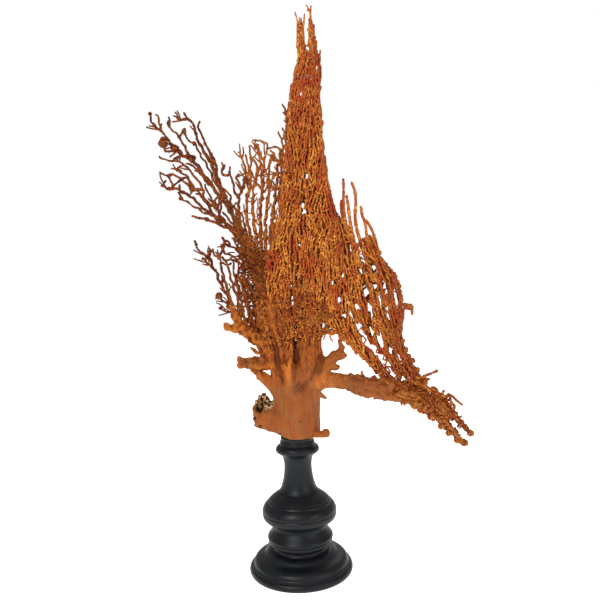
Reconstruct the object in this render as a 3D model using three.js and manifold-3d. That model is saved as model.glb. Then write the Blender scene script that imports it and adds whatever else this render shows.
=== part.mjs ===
// A dried sea fan on a turned wooden stand, in millimetres.
// Z is up, the origin is the centre of the stand's flat underside, and the fan spreads along X.
import * as THREE from "three";
import { mergeVertices } from "three/addons/utils/BufferGeometryUtils.js";
import Module from "manifold-3d";

const wasm = await Module();
wasm.setup();

// Driving dimensions.
const footRadius = 46;
const bulbRadius = 33.5;
const collarRadius = 19.6;
const jointHeight = 69; // the neck is glued to the bulb here
const seatHeight = 118.3; // top of the collar, where the coral sits
const gap = 0.3; // between pieces that touch

// Fineness of the facets.
const turnedSides = 24;
const limbSides = 8;
const bladeSides = 6;
const limbSteps = 8;
const bladeSteps = 7;

const mergeDistance = 1e-3;
const bladeFlatness = 0.42; // thickness over width of a branch of the fans

const materials = {
  stand: { color: 0x23262b, roughness: 0.42, metalness: 0 },
  trunk: { color: 0xbd7048, roughness: 0.8, metalness: 0 },
  golden: { color: 0xb4672a, roughness: 0.75, metalness: 0 },
  russet: { color: 0x7a3518, roughness: 0.7, metalness: 0 },
};

const seaFan = new THREE.Group();
const placed = []; // what later pieces keep clear of, each already grown by the gap

function toSolid(geometry) {
  const bare = geometry.clone();
  bare.deleteAttribute("normal");
  bare.deleteAttribute("uv");
  const merged = mergeVertices(bare, mergeDistance);
  const triVerts = new Uint32Array(merged.index.array);
  const vertProperties = merged.attributes.position.array;
  return new wasm.Manifold(new wasm.Mesh({ numProp: 3, vertProperties, triVerts }));
}

function toGeometry(solid) {
  const mesh = solid.getMesh();
  const geometry = new THREE.BufferGeometry();
  geometry.setAttribute("position", new THREE.BufferAttribute(mesh.vertProperties, 3));
  geometry.setIndex(new THREE.BufferAttribute(mesh.triVerts, 1));
  return geometry;
}

function addNode(name, materialName, geometry) {
  const material = new THREE.MeshStandardMaterial(materials[materialName]);
  const mesh = new THREE.Mesh(geometry, material);
  mesh.name = name;
  seaFan.add(mesh);
}

// A turned piece. The outline is a list of [radius, height] from the bottom up.
function turned(outline) {
  const points = outline.map(([radius, height]) => new THREE.Vector2(radius, height));
  return new THREE.LatheGeometry(points, turnedSides).rotateX(Math.PI / 2);
}

// A capped cylinder bent along a smooth curve, its radius following the radii of the stations.
// Each station is [x, y, z, radius]. flatness is thickness along Y over width.
function bentCylinder(stations, { sides, steps, flatness, grow = 0 }) {
  const curve = new THREE.CatmullRomCurve3(stations.map(([x, y, z]) => new THREE.Vector3(x, y, z)));
  const radii = new THREE.SplineCurve(stations.map((s, i) => new THREE.Vector2(i, s[3])));
  const geometry = new THREE.CylinderGeometry(1, 1, 1, sides, steps);
  const position = geometry.attributes.position;
  const vertex = new THREE.Vector3();
  for (let i = 0; i < position.count; i++) {
    vertex.fromBufferAttribute(position, i);
    const along = THREE.MathUtils.clamp(vertex.y + 0.5, 0, 1);
    const centre = curve.getPoint(along);
    const tangent = curve.getTangent(along);
    const across = new THREE.Vector3(0, 1, 0).cross(tangent).normalize();
    const outward = across.clone().cross(tangent);
    const radius = radii.getPoint(along).y;
    const end = along === 0 ? -grow : along === 1 ? grow : 0;
    centre.addScaledVector(tangent, end);
    centre.addScaledVector(across, vertex.x * (radius + grow));
    centre.addScaledVector(outward, vertex.z * (radius * flatness + grow));
    position.setXYZ(i, centre.x, centre.y, centre.z);
  }
  return geometry;
}

// One piece of the coral, made of one or more bent cylinders grown into each other.
// What the pieces before it already fill is left out of it, with the gap between them.
function grownPiece(name, materialName, shapes, options) {
  const joined = (grow) =>
    shapes
      .map((stations) => toSolid(bentCylinder(stations, { ...options, grow })))
      .reduce((whole, part) => whole.add(part));
  const trimmed = placed.reduce((rest, other) => rest.subtract(other), joined(0));
  const bodies = trimmed.decompose().sort((a, b) => b.volume() - a.volume());
  placed.push(joined(gap));
  addNode(name, materialName, toGeometry(bodies[0]));
}

function limb(name, materialName, shapes, flatness = 0.85) {
  grownPiece(name, materialName, shapes, { sides: limbSides, steps: limbSteps, flatness });
}

function fan(name, materialName, branches) {
  const options = { sides: bladeSides, steps: bladeSteps, flatness: bladeFlatness };
  branches.forEach((stations, i) => {
    grownPiece(`${name}_${i + 1}`, materialName, [stations], options);
  });
}

function buildStand() {
  const lower = turned([
    [0, 0],
    [footRadius - 0.8, 0],
    [footRadius, 1.2],
    [footRadius, 3],
    [footRadius - 1, 5.2],
    [43.4, 6.4],
    [42.2, 7.4],
    [41.4, 9.2],
    [38.6, 12.3],
    [33.6, 14.2],
    [31, 15.6],
    [28.6, 17.4],
    [24.6, 18.6],
    [23.6, 21],
    [25.4, 23.4],
    [27.6, 24.3],
    [29, 26],
    [29.3, 29.2],
    [28.2, 31.6],
    [25.6, 35],
    [23.8, 38],
    [23.6, 40],
    [26.5, 42],
    [31.4, 45.6],
    [bulbRadius - 0.7, 47.4],
    [bulbRadius, 50],
    [bulbRadius - 0.2, 53],
    [bulbRadius - 1.2, 56.2],
    [28.6, 60.6],
    [26.9, 62.6],
    [24, 65.3],
    [19.4, 68.2],
    [18.4, jointHeight],
    [0, jointHeight],
  ]);
  addNode("stand_foot_and_bulb", "stand", lower);

  const upper = turned([
    [0, jointHeight + gap],
    [18, jointHeight + gap],
    [16.4, 71.6],
    [15.1, 74.8],
    [13.8, 79.5],
    [12.7, 86],
    [12.3, 91.5],
    [12.6, 96.2],
    [13.7, 100.2],
    [15.8, 103],
    [collarRadius - 0.5, 104.9],
    [collarRadius, 106.5],
    [collarRadius - 0.7, 108.6],
    [16.4, 110.8],
    [15.4, 111.6],
    [15.2, 114.8],
    [14.8, 115.4],
    [14.8, seatHeight],
    [0, seatHeight],
  ]);
  addNode("stand_neck_and_collar", "stand", upper);

  const seat = new THREE.CylinderGeometry(footRadius, footRadius, seatHeight, turnedSides)
    .rotateX(Math.PI / 2)
    .translate(0, 0, seatHeight / 2 + gap);
  placed.push(toSolid(seat));
}

// Stations are [x, y, z, radius], from the root outwards, here and in the fans below.
function buildTrunkAndLimbs() {
  // The trunk, its broken holdfast on the left, a curled lip and a spur on the right.
  limb("trunk", "trunk", [
    [[-1, 2, 112, 18], [0, 2, 122, 20], [1, 2, 140, 21], [1, 2, 158, 21], [-1, 2, 174, 21]],
    [[-6, 2, 134, 12], [-22, 3, 136, 12.5], [-34, 4, 136, 8], [-39, 4, 136, 4]],
    [[-22, 3, 140, 9], [-27, 4, 150, 6], [-28, 4, 156, 4]],
    [[12, -4, 121, 5.5], [24, -6, 119, 4.5], [30, -6, 121, 4], [30, -6, 126, 2]],
    [[16, 0, 156, 5], [24, -1, 153, 3], [29, -1, 152, 1.5]],
  ]);
  limb("right_arm", "trunk", [
    [[12, 0, 160, 9], [32, -3, 167, 8.5], [58, -6, 163, 9], [84, -8, 156, 9], [104, -10, 149, 8]],
  ]);
  limb("centre_limb", "trunk", [
    [[11, 1, 163, 11], [12, 0, 185, 11.5], [13, 0, 206, 11], [14, 0, 226, 9], [15, 0, 246, 6]],
  ]);
  limb("upper_left_limb", "trunk", [
    [[-10, 3, 163, 12], [-13, 3, 190, 11], [-17, 5, 216, 10], [-25, 7, 250, 9], [-38, 10, 288, 5]],
  ]);
  limb("lower_left_limb", "trunk", [
    [[-12, 0, 172, 9], [-26, -2, 195, 8], [-37, -3, 207, 7], [-49, -5, 219, 6]],
    [[-40, -4, 212, 5], [-52, -6, 217, 4], [-62, -7, 218, 3]],
    [[-48, -5, 216, 4], [-54, -7, 232, 2.5], [-60, -8, 244, 3], [-64, -8, 248, 2.5]],
  ]);
  limb("left_stub", "trunk", [
    [[-12, -3, 180, 7], [-30, -6, 184, 6], [-42, -8, 185, 5], [-49, -9, 186, 6]],
  ]);
  limb("upper_right_limb", "trunk", [
    [[16, -2, 166, 7], [28, -4, 179, 5.5], [36, -5, 187, 5], [43, -5, 192, 4.5], [43, -5, 200, 2]],
  ]);
}

// The lower fan comes forward and the upper one leans back, so the colony is not one flat sheet.
function buildLeftFans() {
  fan("lower_left_branch", "russet", [
    [[-49, -7, 220, 4], [-56, -12, 243, 4], [-66, -16, 264, 4], [-74, -19, 280, 3.5], [-80, -20, 294, 2]],
    [[-45, -7, 220, 4], [-51, -13, 248, 4], [-57, -16, 266, 4], [-65, -19, 285, 2.5]],
    [[-39, -7, 218, 4], [-43, -12, 245, 4], [-47, -14, 264, 4], [-56, -17, 291, 2.5]],
    [[-33, -4, 210, 3.5], [-35, -9, 240, 4], [-37, -12, 262, 4], [-44, -14, 283, 2.5]],
  ]);
  fan("upper_left_branch", "russet", [
    [[-38, 10, 284, 5], [-50, 14, 312, 4.5], [-63, 18, 342, 4.5], [-77, 20, 361, 4.5], [-94, 22, 381, 5]],
    [[-90, 22, 378, 4], [-108, 24, 396, 4], [-121, 26, 411, 3], [-131, 26, 425, 2.5]],
    [[-94, 22, 381, 3], [-104, 24, 387, 3.5], [-117, 24, 394, 4.5]],
    [[-52, 14, 320, 4], [-57, 18, 352, 4], [-66, 20, 375, 4], [-76, 22, 392, 3.5], [-83, 24, 415, 2]],
    [[-64, 20, 372, 3], [-80, 22, 398, 3.5], [-90, 24, 414, 3], [-98, 26, 424, 2]],
    [[-70, 20, 356, 3], [-84, 22, 383, 3.5], [-96, 24, 400, 3], [-113, 26, 414, 2]],
    [[-43, 12, 294, 4], [-58, 16, 315, 4], [-73, 18, 330, 4.5], [-92, 20, 344, 4], [-119, 26, 356, 2]],
    [[-62, 16, 330, 3], [-74, 18, 347, 3.5], [-90, 20, 362, 3.5], [-106, 22, 370, 3], [-122, 24, 379, 2]],
    [[-46, 12, 296, 3.5], [-64, 16, 310, 3.5], [-80, 18, 317, 3], [-93, 20, 322, 2]],
  ]);
  fan("middle_left_branch", "golden", [
    [[-36, 10, 280, 4], [-38, 12, 315, 4], [-42, 14, 345, 4], [-50, 16, 368, 2]],
    [[-27, 8, 262, 4], [-29, 11, 310, 4.5], [-32, 13, 350, 4.5], [-39, 15, 384, 2]],
    [[-17, 6, 235, 4.5], [-19, 10, 300, 4.5], [-21, 12, 350, 4.5], [-28, 14, 392, 2]],
    [[-8, 5, 215, 4.5], [-9, 8, 290, 4.5], [-11, 11, 350, 4.5], [-9, 13, 392, 2]],
  ]);
}

// The spire and the curtain to its right stand nearly face on. The back branches fill in behind.
function buildRightFans() {
  fan("spire_branch", "golden", [
    [[2, -3, 208, 4], [-1, -3, 290, 5], [1, -1, 370, 4.5], [7, 0, 440, 4], [12, 0, 498, 1.5]],
    [[8, -5, 225, 4], [8, -4, 290, 5], [11, -3, 360, 4.5], [15, -1, 440, 4], [17, 0, 492, 1.5]],
    [[16, -5, 240, 4], [17, -4, 300, 5], [20, -3, 370, 4.5], [24, -1, 440, 4], [24, 0, 505, 1.5]],
    [[24, -4, 240, 4], [26, -4, 300, 5], [28, -2, 360, 4.5], [30, 0, 420, 3.5], [33, 0, 463, 2]],
  ]);
  fan("right_branch", "golden", [
    [[89, -7, 166, 4], [77, -5, 204, 5], [66, -4, 240, 5], [55, -4, 275, 5], [50, -3, 345, 1.5]],
    [[98, -8, 160, 4], [88, -6, 200, 5], [78, -5, 238, 5], [65, -4, 283, 4.5], [59, -3, 343, 1.5]],
    [[110, -9, 154, 4], [98, -7, 190, 5], [93, -5, 238, 5], [79, -4, 280, 5], [65, -3, 321, 1.5]],
    [[78, -6, 172, 3], [64, -5, 205, 4.5], [53, -4, 240, 5], [44, -3, 285, 5], [39, -3, 328, 3]],
    [[61, -5, 186, 2], [47, -5, 212, 4.5], [40, -4, 245, 5], [35, -4, 280, 4.5], [33, -3, 318, 3]],
    [[20, -2, 206, 4], [28, -4, 218, 4], [31, -5, 240, 4.5], [29, -5, 262, 3]],
  ]);
  fan("arm_tip_branch", "golden", [
    [[103, -10, 150, 6], [120, -11, 141, 6.5], [135, -12, 126, 6], [149, -13, 110, 4]],
    [[113, -9, 158, 4], [126, -10, 149, 5], [140, -11, 134, 4.5], [154, -12, 119, 3]],
    [[118, -10, 156, 3], [132, -10, 151, 2.5], [146, -11, 142, 1.5]],
    [[104, -8, 166, 2.5], [115, -9, 168, 2.5], [125, -10, 172, 2.5]],
    [[93, -6, 226, 4], [103, -6, 230, 4], [108, -7, 222, 2.5]],
  ]);
  fan("back_branch", "golden", [
    [[2, 8, 212, 5], [0, 20, 270, 5], [2, 25, 330, 5], [8, 27, 412, 3]],
    [[10, 8, 212, 5], [13, 20, 280, 5], [17, 25, 340, 5], [21, 27, 430, 3]],
    [[18, 7, 214, 5], [26, 18, 265, 5], [31, 22, 305, 5], [34, 23, 345, 3]],
    [[21, 5, 206, 5], [36, 13, 236, 5], [51, 16, 256, 5], [68, 16, 272, 3]],
  ]);
}

buildStand();
buildTrunkAndLimbs();
buildLeftFans();
buildRightFans();

export default seaFan;
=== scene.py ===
import math
import random

import bpy
import numpy as np
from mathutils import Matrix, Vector, noise

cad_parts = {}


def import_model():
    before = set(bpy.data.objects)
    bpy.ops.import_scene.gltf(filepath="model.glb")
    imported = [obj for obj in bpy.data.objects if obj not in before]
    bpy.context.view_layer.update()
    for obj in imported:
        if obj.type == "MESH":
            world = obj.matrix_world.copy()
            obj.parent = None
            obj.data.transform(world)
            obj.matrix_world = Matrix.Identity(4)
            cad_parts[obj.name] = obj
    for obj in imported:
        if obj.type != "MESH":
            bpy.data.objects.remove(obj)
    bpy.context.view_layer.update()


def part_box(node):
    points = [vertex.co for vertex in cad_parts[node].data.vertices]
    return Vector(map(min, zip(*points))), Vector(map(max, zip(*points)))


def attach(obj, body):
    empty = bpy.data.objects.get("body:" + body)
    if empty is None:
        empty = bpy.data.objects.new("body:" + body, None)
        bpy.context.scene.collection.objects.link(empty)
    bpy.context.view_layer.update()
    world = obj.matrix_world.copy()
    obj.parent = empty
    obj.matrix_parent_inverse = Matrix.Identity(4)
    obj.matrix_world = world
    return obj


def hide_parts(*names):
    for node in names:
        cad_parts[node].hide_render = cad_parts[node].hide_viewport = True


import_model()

mm = 0.001  # lengths below are in millimetres, and Blender's are in metres

# where the fan is looked at from. Its branches are drawn as seen from here
eye = {"across": 7, "front": 500, "up": 240, "lens": 33.33, "roll": 2}

_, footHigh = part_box("stand_foot_and_bulb")
neckLow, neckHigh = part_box("stand_neck_and_collar")
footRadius = footHigh.x / mm
jointHeight = footHigh.z / mm
collarRadius = neckHigh.x / mm
neckBottom = neckLow.z / mm
seatHeight = neckHigh.z / mm


def selectOnly(piece):
    bpy.ops.object.select_all(action="DESELECT")
    piece.select_set(True)
    bpy.context.view_layer.objects.active = piece


def useModifier(piece, kind, values):
    selectOnly(piece)
    bpy.ops.object.modifier_add(type=kind)
    modifier = piece.modifiers[-1]
    for key, value in values.items():
        setattr(modifier, key, value)
    bpy.ops.object.modifier_apply(modifier=modifier.name)


curveSteps = 12  # between two drawn points, before the curve is evened out


def smoothLine(points, step):
    # a Catmull-Rom curve through the points, cut into steps that are even in the first two numbers
    points = np.array(points, float)
    ends = [2 * points[0] - points[1], *points, 2 * points[-1] - points[-2]]
    fine = []
    for a, b, c, d in zip(ends, ends[1:], ends[2:], ends[3:]):
        for t in np.linspace(0, 1, curveSteps, endpoint=False):
            curve = 2 * b + (c - a) * t + (2 * a - 5 * b + 4 * c - d) * t ** 2
            fine.append((curve + (3 * b - a - 3 * c + d) * t ** 3) / 2)
    fine = np.array([*fine, points[-1]])
    run = np.concatenate([[0], np.cumsum(np.hypot(*np.diff(fine[:, :2], axis=0).T))])
    count = max(3, round(run[-1] / step) + 1)
    even = np.linspace(0, run[-1], count)
    return np.stack([np.interp(even, run, fine[:, k]) for k in range(fine.shape[1])], axis=1)


def blend(value, low, high):
    # 0 below low and 1 above high, eased between
    t = min(1, max(0, (value - low) / (high - low)))
    return t * t * (3 - 2 * t)


def alongSight(across, up, depth):
    # a point drawn on the plane of the stand's axis, pushed back or forward along the line of sight
    reach = 1 + depth / eye["front"]
    x = eye["across"] + (across - eye["across"]) * reach
    z = eye["up"] + (up - eye["up"]) * reach
    return x, depth, z


def makeCamera():
    data = bpy.data.cameras.new("camera")
    camera = bpy.data.objects.new("camera", data)
    bpy.context.collection.objects.link(camera)
    camera.location = Vector((eye["across"], -eye["front"], eye["up"])) * mm
    camera.rotation_euler = (math.radians(90), math.radians(eye["roll"]), 0)
    data.lens = eye["lens"]
    data.clip_start = 0.01
    bpy.context.scene.camera = camera


# the lights as (place, size, watts) in metres, what they aim at, and how bright the room and floor are
studio = {
    "key": ((-0.55, -1.1, 1.0), 0.55, 11.0),
    "fill": ((0.95, -0.8, 0.6), 0.7, 3.5),
    "back": ((0.3, 1.3, 1.0), 0.9, 3.0),
    "aim": (0, 0, 0.22),
    "around": 0.42,
    "floorGlow": 0.95,
}


def makeLight(name, place, size, watts):
    data = bpy.data.lights.new(name, "AREA")
    data.shape = "DISK"
    data.size = size
    data.energy = watts
    light = bpy.data.objects.new(name, data)
    bpy.context.collection.objects.link(light)
    light.location = place
    aim = Vector(studio["aim"]) - Vector(place)
    light.rotation_euler = aim.to_track_quat("-Z", "Y").to_euler()


def makeLights():
    for name in ("key", "fill", "back"):
        makeLight(name + "Light", *studio[name])


class Wire:
    # a shader socket that takes part in sums
    def __init__(self, tree, socket=None):
        self.tree = tree
        self.socket = socket

    def node(self, kind, settings=None, inputs=None, output=0):
        made = self.tree.nodes.new(kind)
        for key, value in (settings or {}).items():
            if key == "stops":
                while len(made.color_ramp.elements) < len(value):
                    made.color_ramp.elements.new(0.5)
                for element, (place, colour) in zip(made.color_ramp.elements, value):
                    element.position = place
                    element.color = (*colour, 1)
            else:
                setattr(made, key, value)
        for key, value in (inputs or {}).items():
            if isinstance(value, Wire):
                self.tree.links.new(value.socket, made.inputs[key])
            else:
                made.inputs[key].default_value = value
        return Wire(self.tree, made.outputs[output])

    def maths(self, operation, first, second):
        return self.node("ShaderNodeMath", {"operation": operation}, {0: first, 1: second})

    def __add__(self, other):
        return self.maths("ADD", self, other)

    def __radd__(self, other):
        return self.maths("ADD", other, self)

    def __sub__(self, other):
        return self.maths("SUBTRACT", self, other)

    def __rsub__(self, other):
        return self.maths("SUBTRACT", other, self)

    def __mul__(self, other):
        return self.maths("MULTIPLY", self, other)

    def __rmul__(self, other):
        return self.maths("MULTIPLY", other, self)

    def clamped(self, low, high):
        limits = {"Value": self, "From Min": low, "From Max": high}
        return self.node("ShaderNodeMapRange", {"clamp": True}, limits)

    def mix(self, first, second):
        # this socket is the share of the second colour
        pair = {0: self, 6: colour4(first), 7: colour4(second)}
        return self.node("ShaderNodeMix", {"data_type": "RGBA"}, pair, output=2)


def colour4(colour):
    return colour if isinstance(colour, Wire) else (*colour, 1)


def startMaterial(name):
    material = bpy.data.materials.new(name)
    material.use_nodes = True
    tree = material.node_tree
    place = Wire(tree).node("ShaderNodeTexCoord", output=3)  # Object coordinates
    return material, tree.nodes["Principled BSDF"], place


def noiseAt(place, scale, detail, stretch=(1, 1, 1)):
    moved = place.node("ShaderNodeMapping", inputs={"Vector": place, "Scale": stretch})
    return place.node("ShaderNodeTexNoise", inputs={"Vector": moved, "Scale": scale, "Detail": detail})


def connect(tree, wire, socket):
    tree.links.new(wire.socket, socket)


def addBump(tree, surface, height, depth, strength=1.0):
    values = {"Height": height, "Distance": depth, "Strength": strength}
    bump = Wire(tree).node("ShaderNodeBump", inputs=values)
    connect(tree, bump, surface.inputs["Normal"])


ebonised = {
    "stain": (0.0018, 0.0026, 0.0036),
    "worn": (0.008, 0.010, 0.013),
    "roughness": 0.3,
    "shine": 0.24,
    "grainDepth": 0.00018,
}


def makeEbonisedWood():
    material, surface, place = startMaterial("ebonisedWood")
    tree = material.node_tree
    cloudy = noiseAt(place, 60, 3)
    grain = noiseAt(place, 900, 3, (1, 1, 0.07))
    shade = (cloudy * 0.6 + grain * 0.4).clamped(0.35, 0.75)
    connect(tree, shade.mix(ebonised["stain"], ebonised["worn"]), surface.inputs["Base Color"])
    rough = ebonised["roughness"] + 0.18 * cloudy.clamped(0.3, 0.7) + 0.06 * grain
    connect(tree, rough, surface.inputs["Roughness"])
    surface.inputs["Specular IOR Level"].default_value = ebonised["shine"]
    addBump(tree, surface, grain * 0.5 + cloudy * 0.5, ebonised["grainDepth"])
    return material


# where the twigs redden, in metres: the spire's right side, and the right fan's outer edge
redBands = {
    "spireLean": 0.06,
    "spireSide": (0.0535, 0.0580),
    "spireStart": (0.295, 0.32),
    "spireEnd": (0.047, 0.050),
    "fanSide": (0.072, 0.098),
    "fanEnd": (0.100, 0.125),
}


def makeTwigs(name, finish):
    # grains of rind, with painted highlight on their crowns and painted red-brown shade between them, mixed
    # with patches of their own tone
    material, surface, place = startMaterial(name)
    tree = material.node_tree
    grains = place.node(
        "ShaderNodeTexVoronoi",
        {"feature": "SMOOTH_F1"},
        {"Vector": place, "Scale": 620, "Smoothness": 0.4},
    )
    cloudy = noiseAt(place, 85, 3, (1, 1, 0.5))
    patchy = noiseAt(place, 330, 2)
    across = place.node("ShaderNodeSeparateXYZ", inputs={0: place}, output=0)
    up = place.node("ShaderNodeSeparateXYZ", inputs={0: place}, output=2)
    leaning = across + redBands["spireLean"] * up
    spireEdge = leaning.clamped(*redBands["spireSide"]) * up.clamped(*redBands["spireStart"])
    spireEdge = spireEdge * (1 - across.clamped(*redBands["spireEnd"]))
    fanEdge = across.clamped(*redBands["fanSide"]) * (1 - 0.7 * across.clamped(*redBands["fanEnd"]))
    edge = (spireEdge + fanEdge).clamped(0.0, 1.0) * (0.35 + patchy.clamped(0.4, 0.6))
    olive = noiseAt(place, 130, 2, (1, 1, 0.6))
    # painted light at the scale of the grains: high on the crowns the bump raises, low between them, partly
    # random tone
    paintedCrownLight = (1 - grains).clamped(0.15, 0.85) * 0.55 + patchy.clamped(0.3, 0.7) * 0.45
    colour = place.node("ShaderNodeValToRGB", {"stops": finish["stops"]}, {"Fac": paintedCrownLight})
    tinted = (cloudy.clamped(0.42, 0.68) * finish["drift"]).mix(colour, finish["tint"])
    redder = (1 - patchy).clamped(0.5, 0.62) * olive.clamped(0.45, 0.6)
    tinted = (redder * 0.7).mix(tinted, finish["edgeTint"])
    tinted = ((1 - olive).clamped(0.55, 0.75) * 0.6).mix(tinted, finish["olive"])
    tinted = (edge * finish["edge"]).mix(tinted, finish["edgeTint"])
    connect(tree, tinted, surface.inputs["Base Color"])
    connect(tree, 0.5 + 0.3 * patchy, surface.inputs["Roughness"])
    surface.inputs["Specular IOR Level"].default_value = finish["shine"]
    addBump(tree, surface, paintedCrownLight, 0.0005, 0.8)
    return material


# each ramp runs from the painted shade between the grains to the painted highlight on their crowns
goldenFinish = {
    "stops": [(0.15, (0.20, 0.026, 0.003)), (0.5, (0.44, 0.112, 0.010)), (0.85, (0.74, 0.36, 0.048))],
    "tint": (0.31, 0.028, 0.004),
    "drift": 0.85,
    "olive": (0.40, 0.165, 0.016),
    "edge": 0.75,
    "edgeTint": (0.20, 0.026, 0.004),
    "shine": 0.25,
}
russetFinish = {
    "stops": [(0.15, (0.014, 0.003, 0.001)), (0.5, (0.090, 0.015, 0.004)), (0.85, (0.33, 0.080, 0.010))],
    "tint": (0.27, 0.072, 0.009),
    "drift": 0.6,
    "olive": (0.120, 0.040, 0.008),
    "edge": 0.0,
    "edgeTint": (0.11, 0.013, 0.003),
    "shine": 0.12,
}
rustyFinish = {
    "stops": [(0.15, (0.065, 0.008, 0.001)), (0.5, (0.205, 0.035, 0.004)), (0.85, (0.58, 0.210, 0.025))],
    "tint": (0.36, 0.115, 0.011),
    "drift": 0.6,
    "olive": (0.26, 0.075, 0.012),
    "edge": 0.0,
    "edgeTint": (0.19, 0.020, 0.003),
    "shine": 0.2,
}


rind = {
    "tan": (0.260, 0.069, 0.012),
    "pink": (0.280, 0.092, 0.026),
    "orange": (0.37, 0.088, 0.006),
    "rust": (0.205, 0.038, 0.003),
    "moss": (0.18, 0.072, 0.008),
    "brown": (0.13, 0.026, 0.006),
    "glow": (0.62, 0.170, 0.020),
    "cream": (0.60, 0.44, 0.20),
    # painted highlight on the crowns of the rind; the two below are painted shade in its grooves and its holes
    "paintedCrownLight": (0.54, 0.170, 0.013),
    "grooveShade": (0.15, 0.022, 0.005),
    "hollow": (0.028, 0.007, 0.003),
    "shine": 0.2,
    # places in millimetres, and their reach in metres
    "holdfast": (-28.5, 1, 150),
    "holdfastReach": (0.0075, 0.0105),
    "ridge": (-4, -8, 186),
    "ridgeShape": (130, 60, 28),
    "elbow": (26, -11, 169),
    "elbowReach": (0.004, 0.022),
}


def makeRind():
    material, surface, place = startMaterial("coralRind")
    tree = material.node_tree
    streaks = noiseAt(place, 150, 3, (1, 1, 0.14))
    cloudy = noiseAt(place, 45, 3)
    patches = noiseAt(place, 110, 2)
    specks = noiseAt(place, 640, 2)
    hollow = place.node("ShaderNodeAttribute", {"attribute_name": "hollow"}, output=2)
    rough = place.node("ShaderNodeAttribute", {"attribute_name": "fused"}, output=2)
    valley = place.node("ShaderNodeAttribute", {"attribute_name": "valley"}, output=2)
    base = patches.clamped(0.4, 0.65).mix(rind["tan"], rind["pink"])
    base = (cloudy.clamped(0.48, 0.66) * 0.45).mix(base, rind["orange"])
    base = (streaks.clamped(0.5, 0.7) * 0.6).mix(base, rind["moss"])
    upper = cloudy.clamped(0.35, 0.62).mix(rind["rust"], rind["orange"])
    upper = ((1 - patches).clamped(0.5, 0.66) * 0.55).mix(upper, rind["moss"])
    base = (rough * 1.3 + cloudy * 0.5 - 0.35).clamped(0.0, 0.7).mix(base, upper)
    ridge = Vector(rind["ridge"]) * mm
    aside = place.node("ShaderNodeVectorMath", {"operation": "SUBTRACT"}, {0: place, 1: ridge})
    pair = {0: aside, 1: rind["ridgeShape"]}
    narrow = aside.node("ShaderNodeVectorMath", {"operation": "MULTIPLY"}, pair)
    beyond = narrow.node("ShaderNodeVectorMath", {"operation": "LENGTH"}, {0: narrow}, output=1)
    ridgeMask = (1 - beyond).clamped(0.0, 0.5) * streaks.clamped(0.3, 0.6)
    base = (ridgeMask * 0.8).mix(base, rind["glow"])
    elbow = Vector(rind["elbow"]) * mm
    pair = {0: place, 1: elbow}
    toElbow = place.node("ShaderNodeVectorMath", {"operation": "DISTANCE"}, pair, output=1)
    nearElbow = (1 - toElbow.clamped(*rind["elbowReach"])) * patches.clamped(0.35, 0.6)
    base = (nearElbow * 0.6).mix(base, rind["glow"])
    # painted shade along the low streaks, which the bump sinks into grooves
    base = ((1 - streaks).clamped(0.5, 0.75) * (0.55 - 0.3 * rough)).mix(base, rind["grooveShade"])
    base = ((1 - specks).clamped(0.5, 0.72) * (0.25 + 0.5 * rough)).mix(base, rind["brown"])
    home = Vector(rind["holdfast"]) * mm
    pair = {0: place, 1: home}
    away = place.node("ShaderNodeVectorMath", {"operation": "DISTANCE"}, pair, output=1)
    cream = 1 - (away + 0.006 * (patches - 0.5)).clamped(*rind["holdfastReach"])
    torn = specks.clamped(0.42, 0.58).mix(rind["brown"], rind["cream"])
    base = (cream * 0.9).mix(base, torn)
    # painted highlight on the crowns of the fused rind
    paintedCrownMask = (1 - valley).clamped(0.55, 0.9) * rough * (0.1 + 0.5 * cloudy)
    base = paintedCrownMask.mix(base, rind["paintedCrownLight"])
    # painted shade in the valleys between fused twigs
    base = (valley.clamped(0.55, 1.0) * (0.2 + 0.5 * rough)).mix(base, rind["grooveShade"])
    # painted shade in the sunken grooves, holes, pits and creases
    base = hollow.mix(base, rind["hollow"])
    connect(tree, base, surface.inputs["Base Color"])
    connect(tree, 0.55 + 0.25 * specks, surface.inputs["Roughness"])
    surface.inputs["Specular IOR Level"].default_value = rind["shine"]
    addBump(tree, surface, specks * 0.6 + streaks * 0.4, 0.0009, 0.8)
    return material


def finishPiece(piece, material, nodes):
    piece.data.materials.clear()
    piece.data.materials.append(material)
    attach(piece, "root")
    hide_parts(*nodes)


# outlines from the bottom up as (radius, height). Each run is smooth, and runs meet at crisp edges
footRuns = [
    [(footRadius - 0.7, 0), (footRadius - 0.1, 0.9), (footRadius, 2.4), (footRadius - 0.3, 3.6)],
    [(footRadius - 0.3, 3.6), (footRadius - 1.2, 4.9), (44, 5.4)],
    [(44, 5.4), (43.5, 5.7), (43.4, 6.3)],
    [(43.4, 6.3), (42.7, 6.7), (42.2, 7.4), (41.9, 8.6), (40.8, 10.6), (38.8, 12.2), (36.2, 13.2)]
    + [(33.8, 13.9), (32, 14.8), (30.8, 16.1), (29, 17.5), (26.6, 18.2), (24.6, 18.4)],
    [(24.6, 18.4), (23.5, 19.6), (23.5, 21.4), (24.8, 22.9), (27, 23.7)],
    [(27, 23.7), (28.2, 24.5), (28.8, 25.9), (28.5, 27.4)],
    [(28.5, 27.4), (28.9, 28.1), (29.3, 29.2), (28.9, 30.6), (27.6, 32.4), (25.6, 35), (24, 37.8)]
    + [(23.6, 39.8)],
    [(23.6, 39.8), (24.6, 41.2), (27.6, 43), (31, 45.2)],
    [(31, 45.2), (32.4, 46.6), (33, 48.6), (33.1, 50.6), (32.6, 51.5)],
    [(32.6, 51.5), (33.2, 52.2), (33.2, 53.6), (32.2, 56.2), (30.6, 58.4), (29.1, 59.8)],
    [(29.1, 59.8), (28.5, 60.0), (28.3, 60.6)],
    [(28.3, 60.6), (27.7, 61.5), (27.1, 62.1)],
    [(27.1, 62.1), (26.6, 62.3), (26.4, 62.9)],
    [(26.4, 62.9), (23.8, 65.1), (20.8, 67.2), (18.4, jointHeight)],
]
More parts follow.
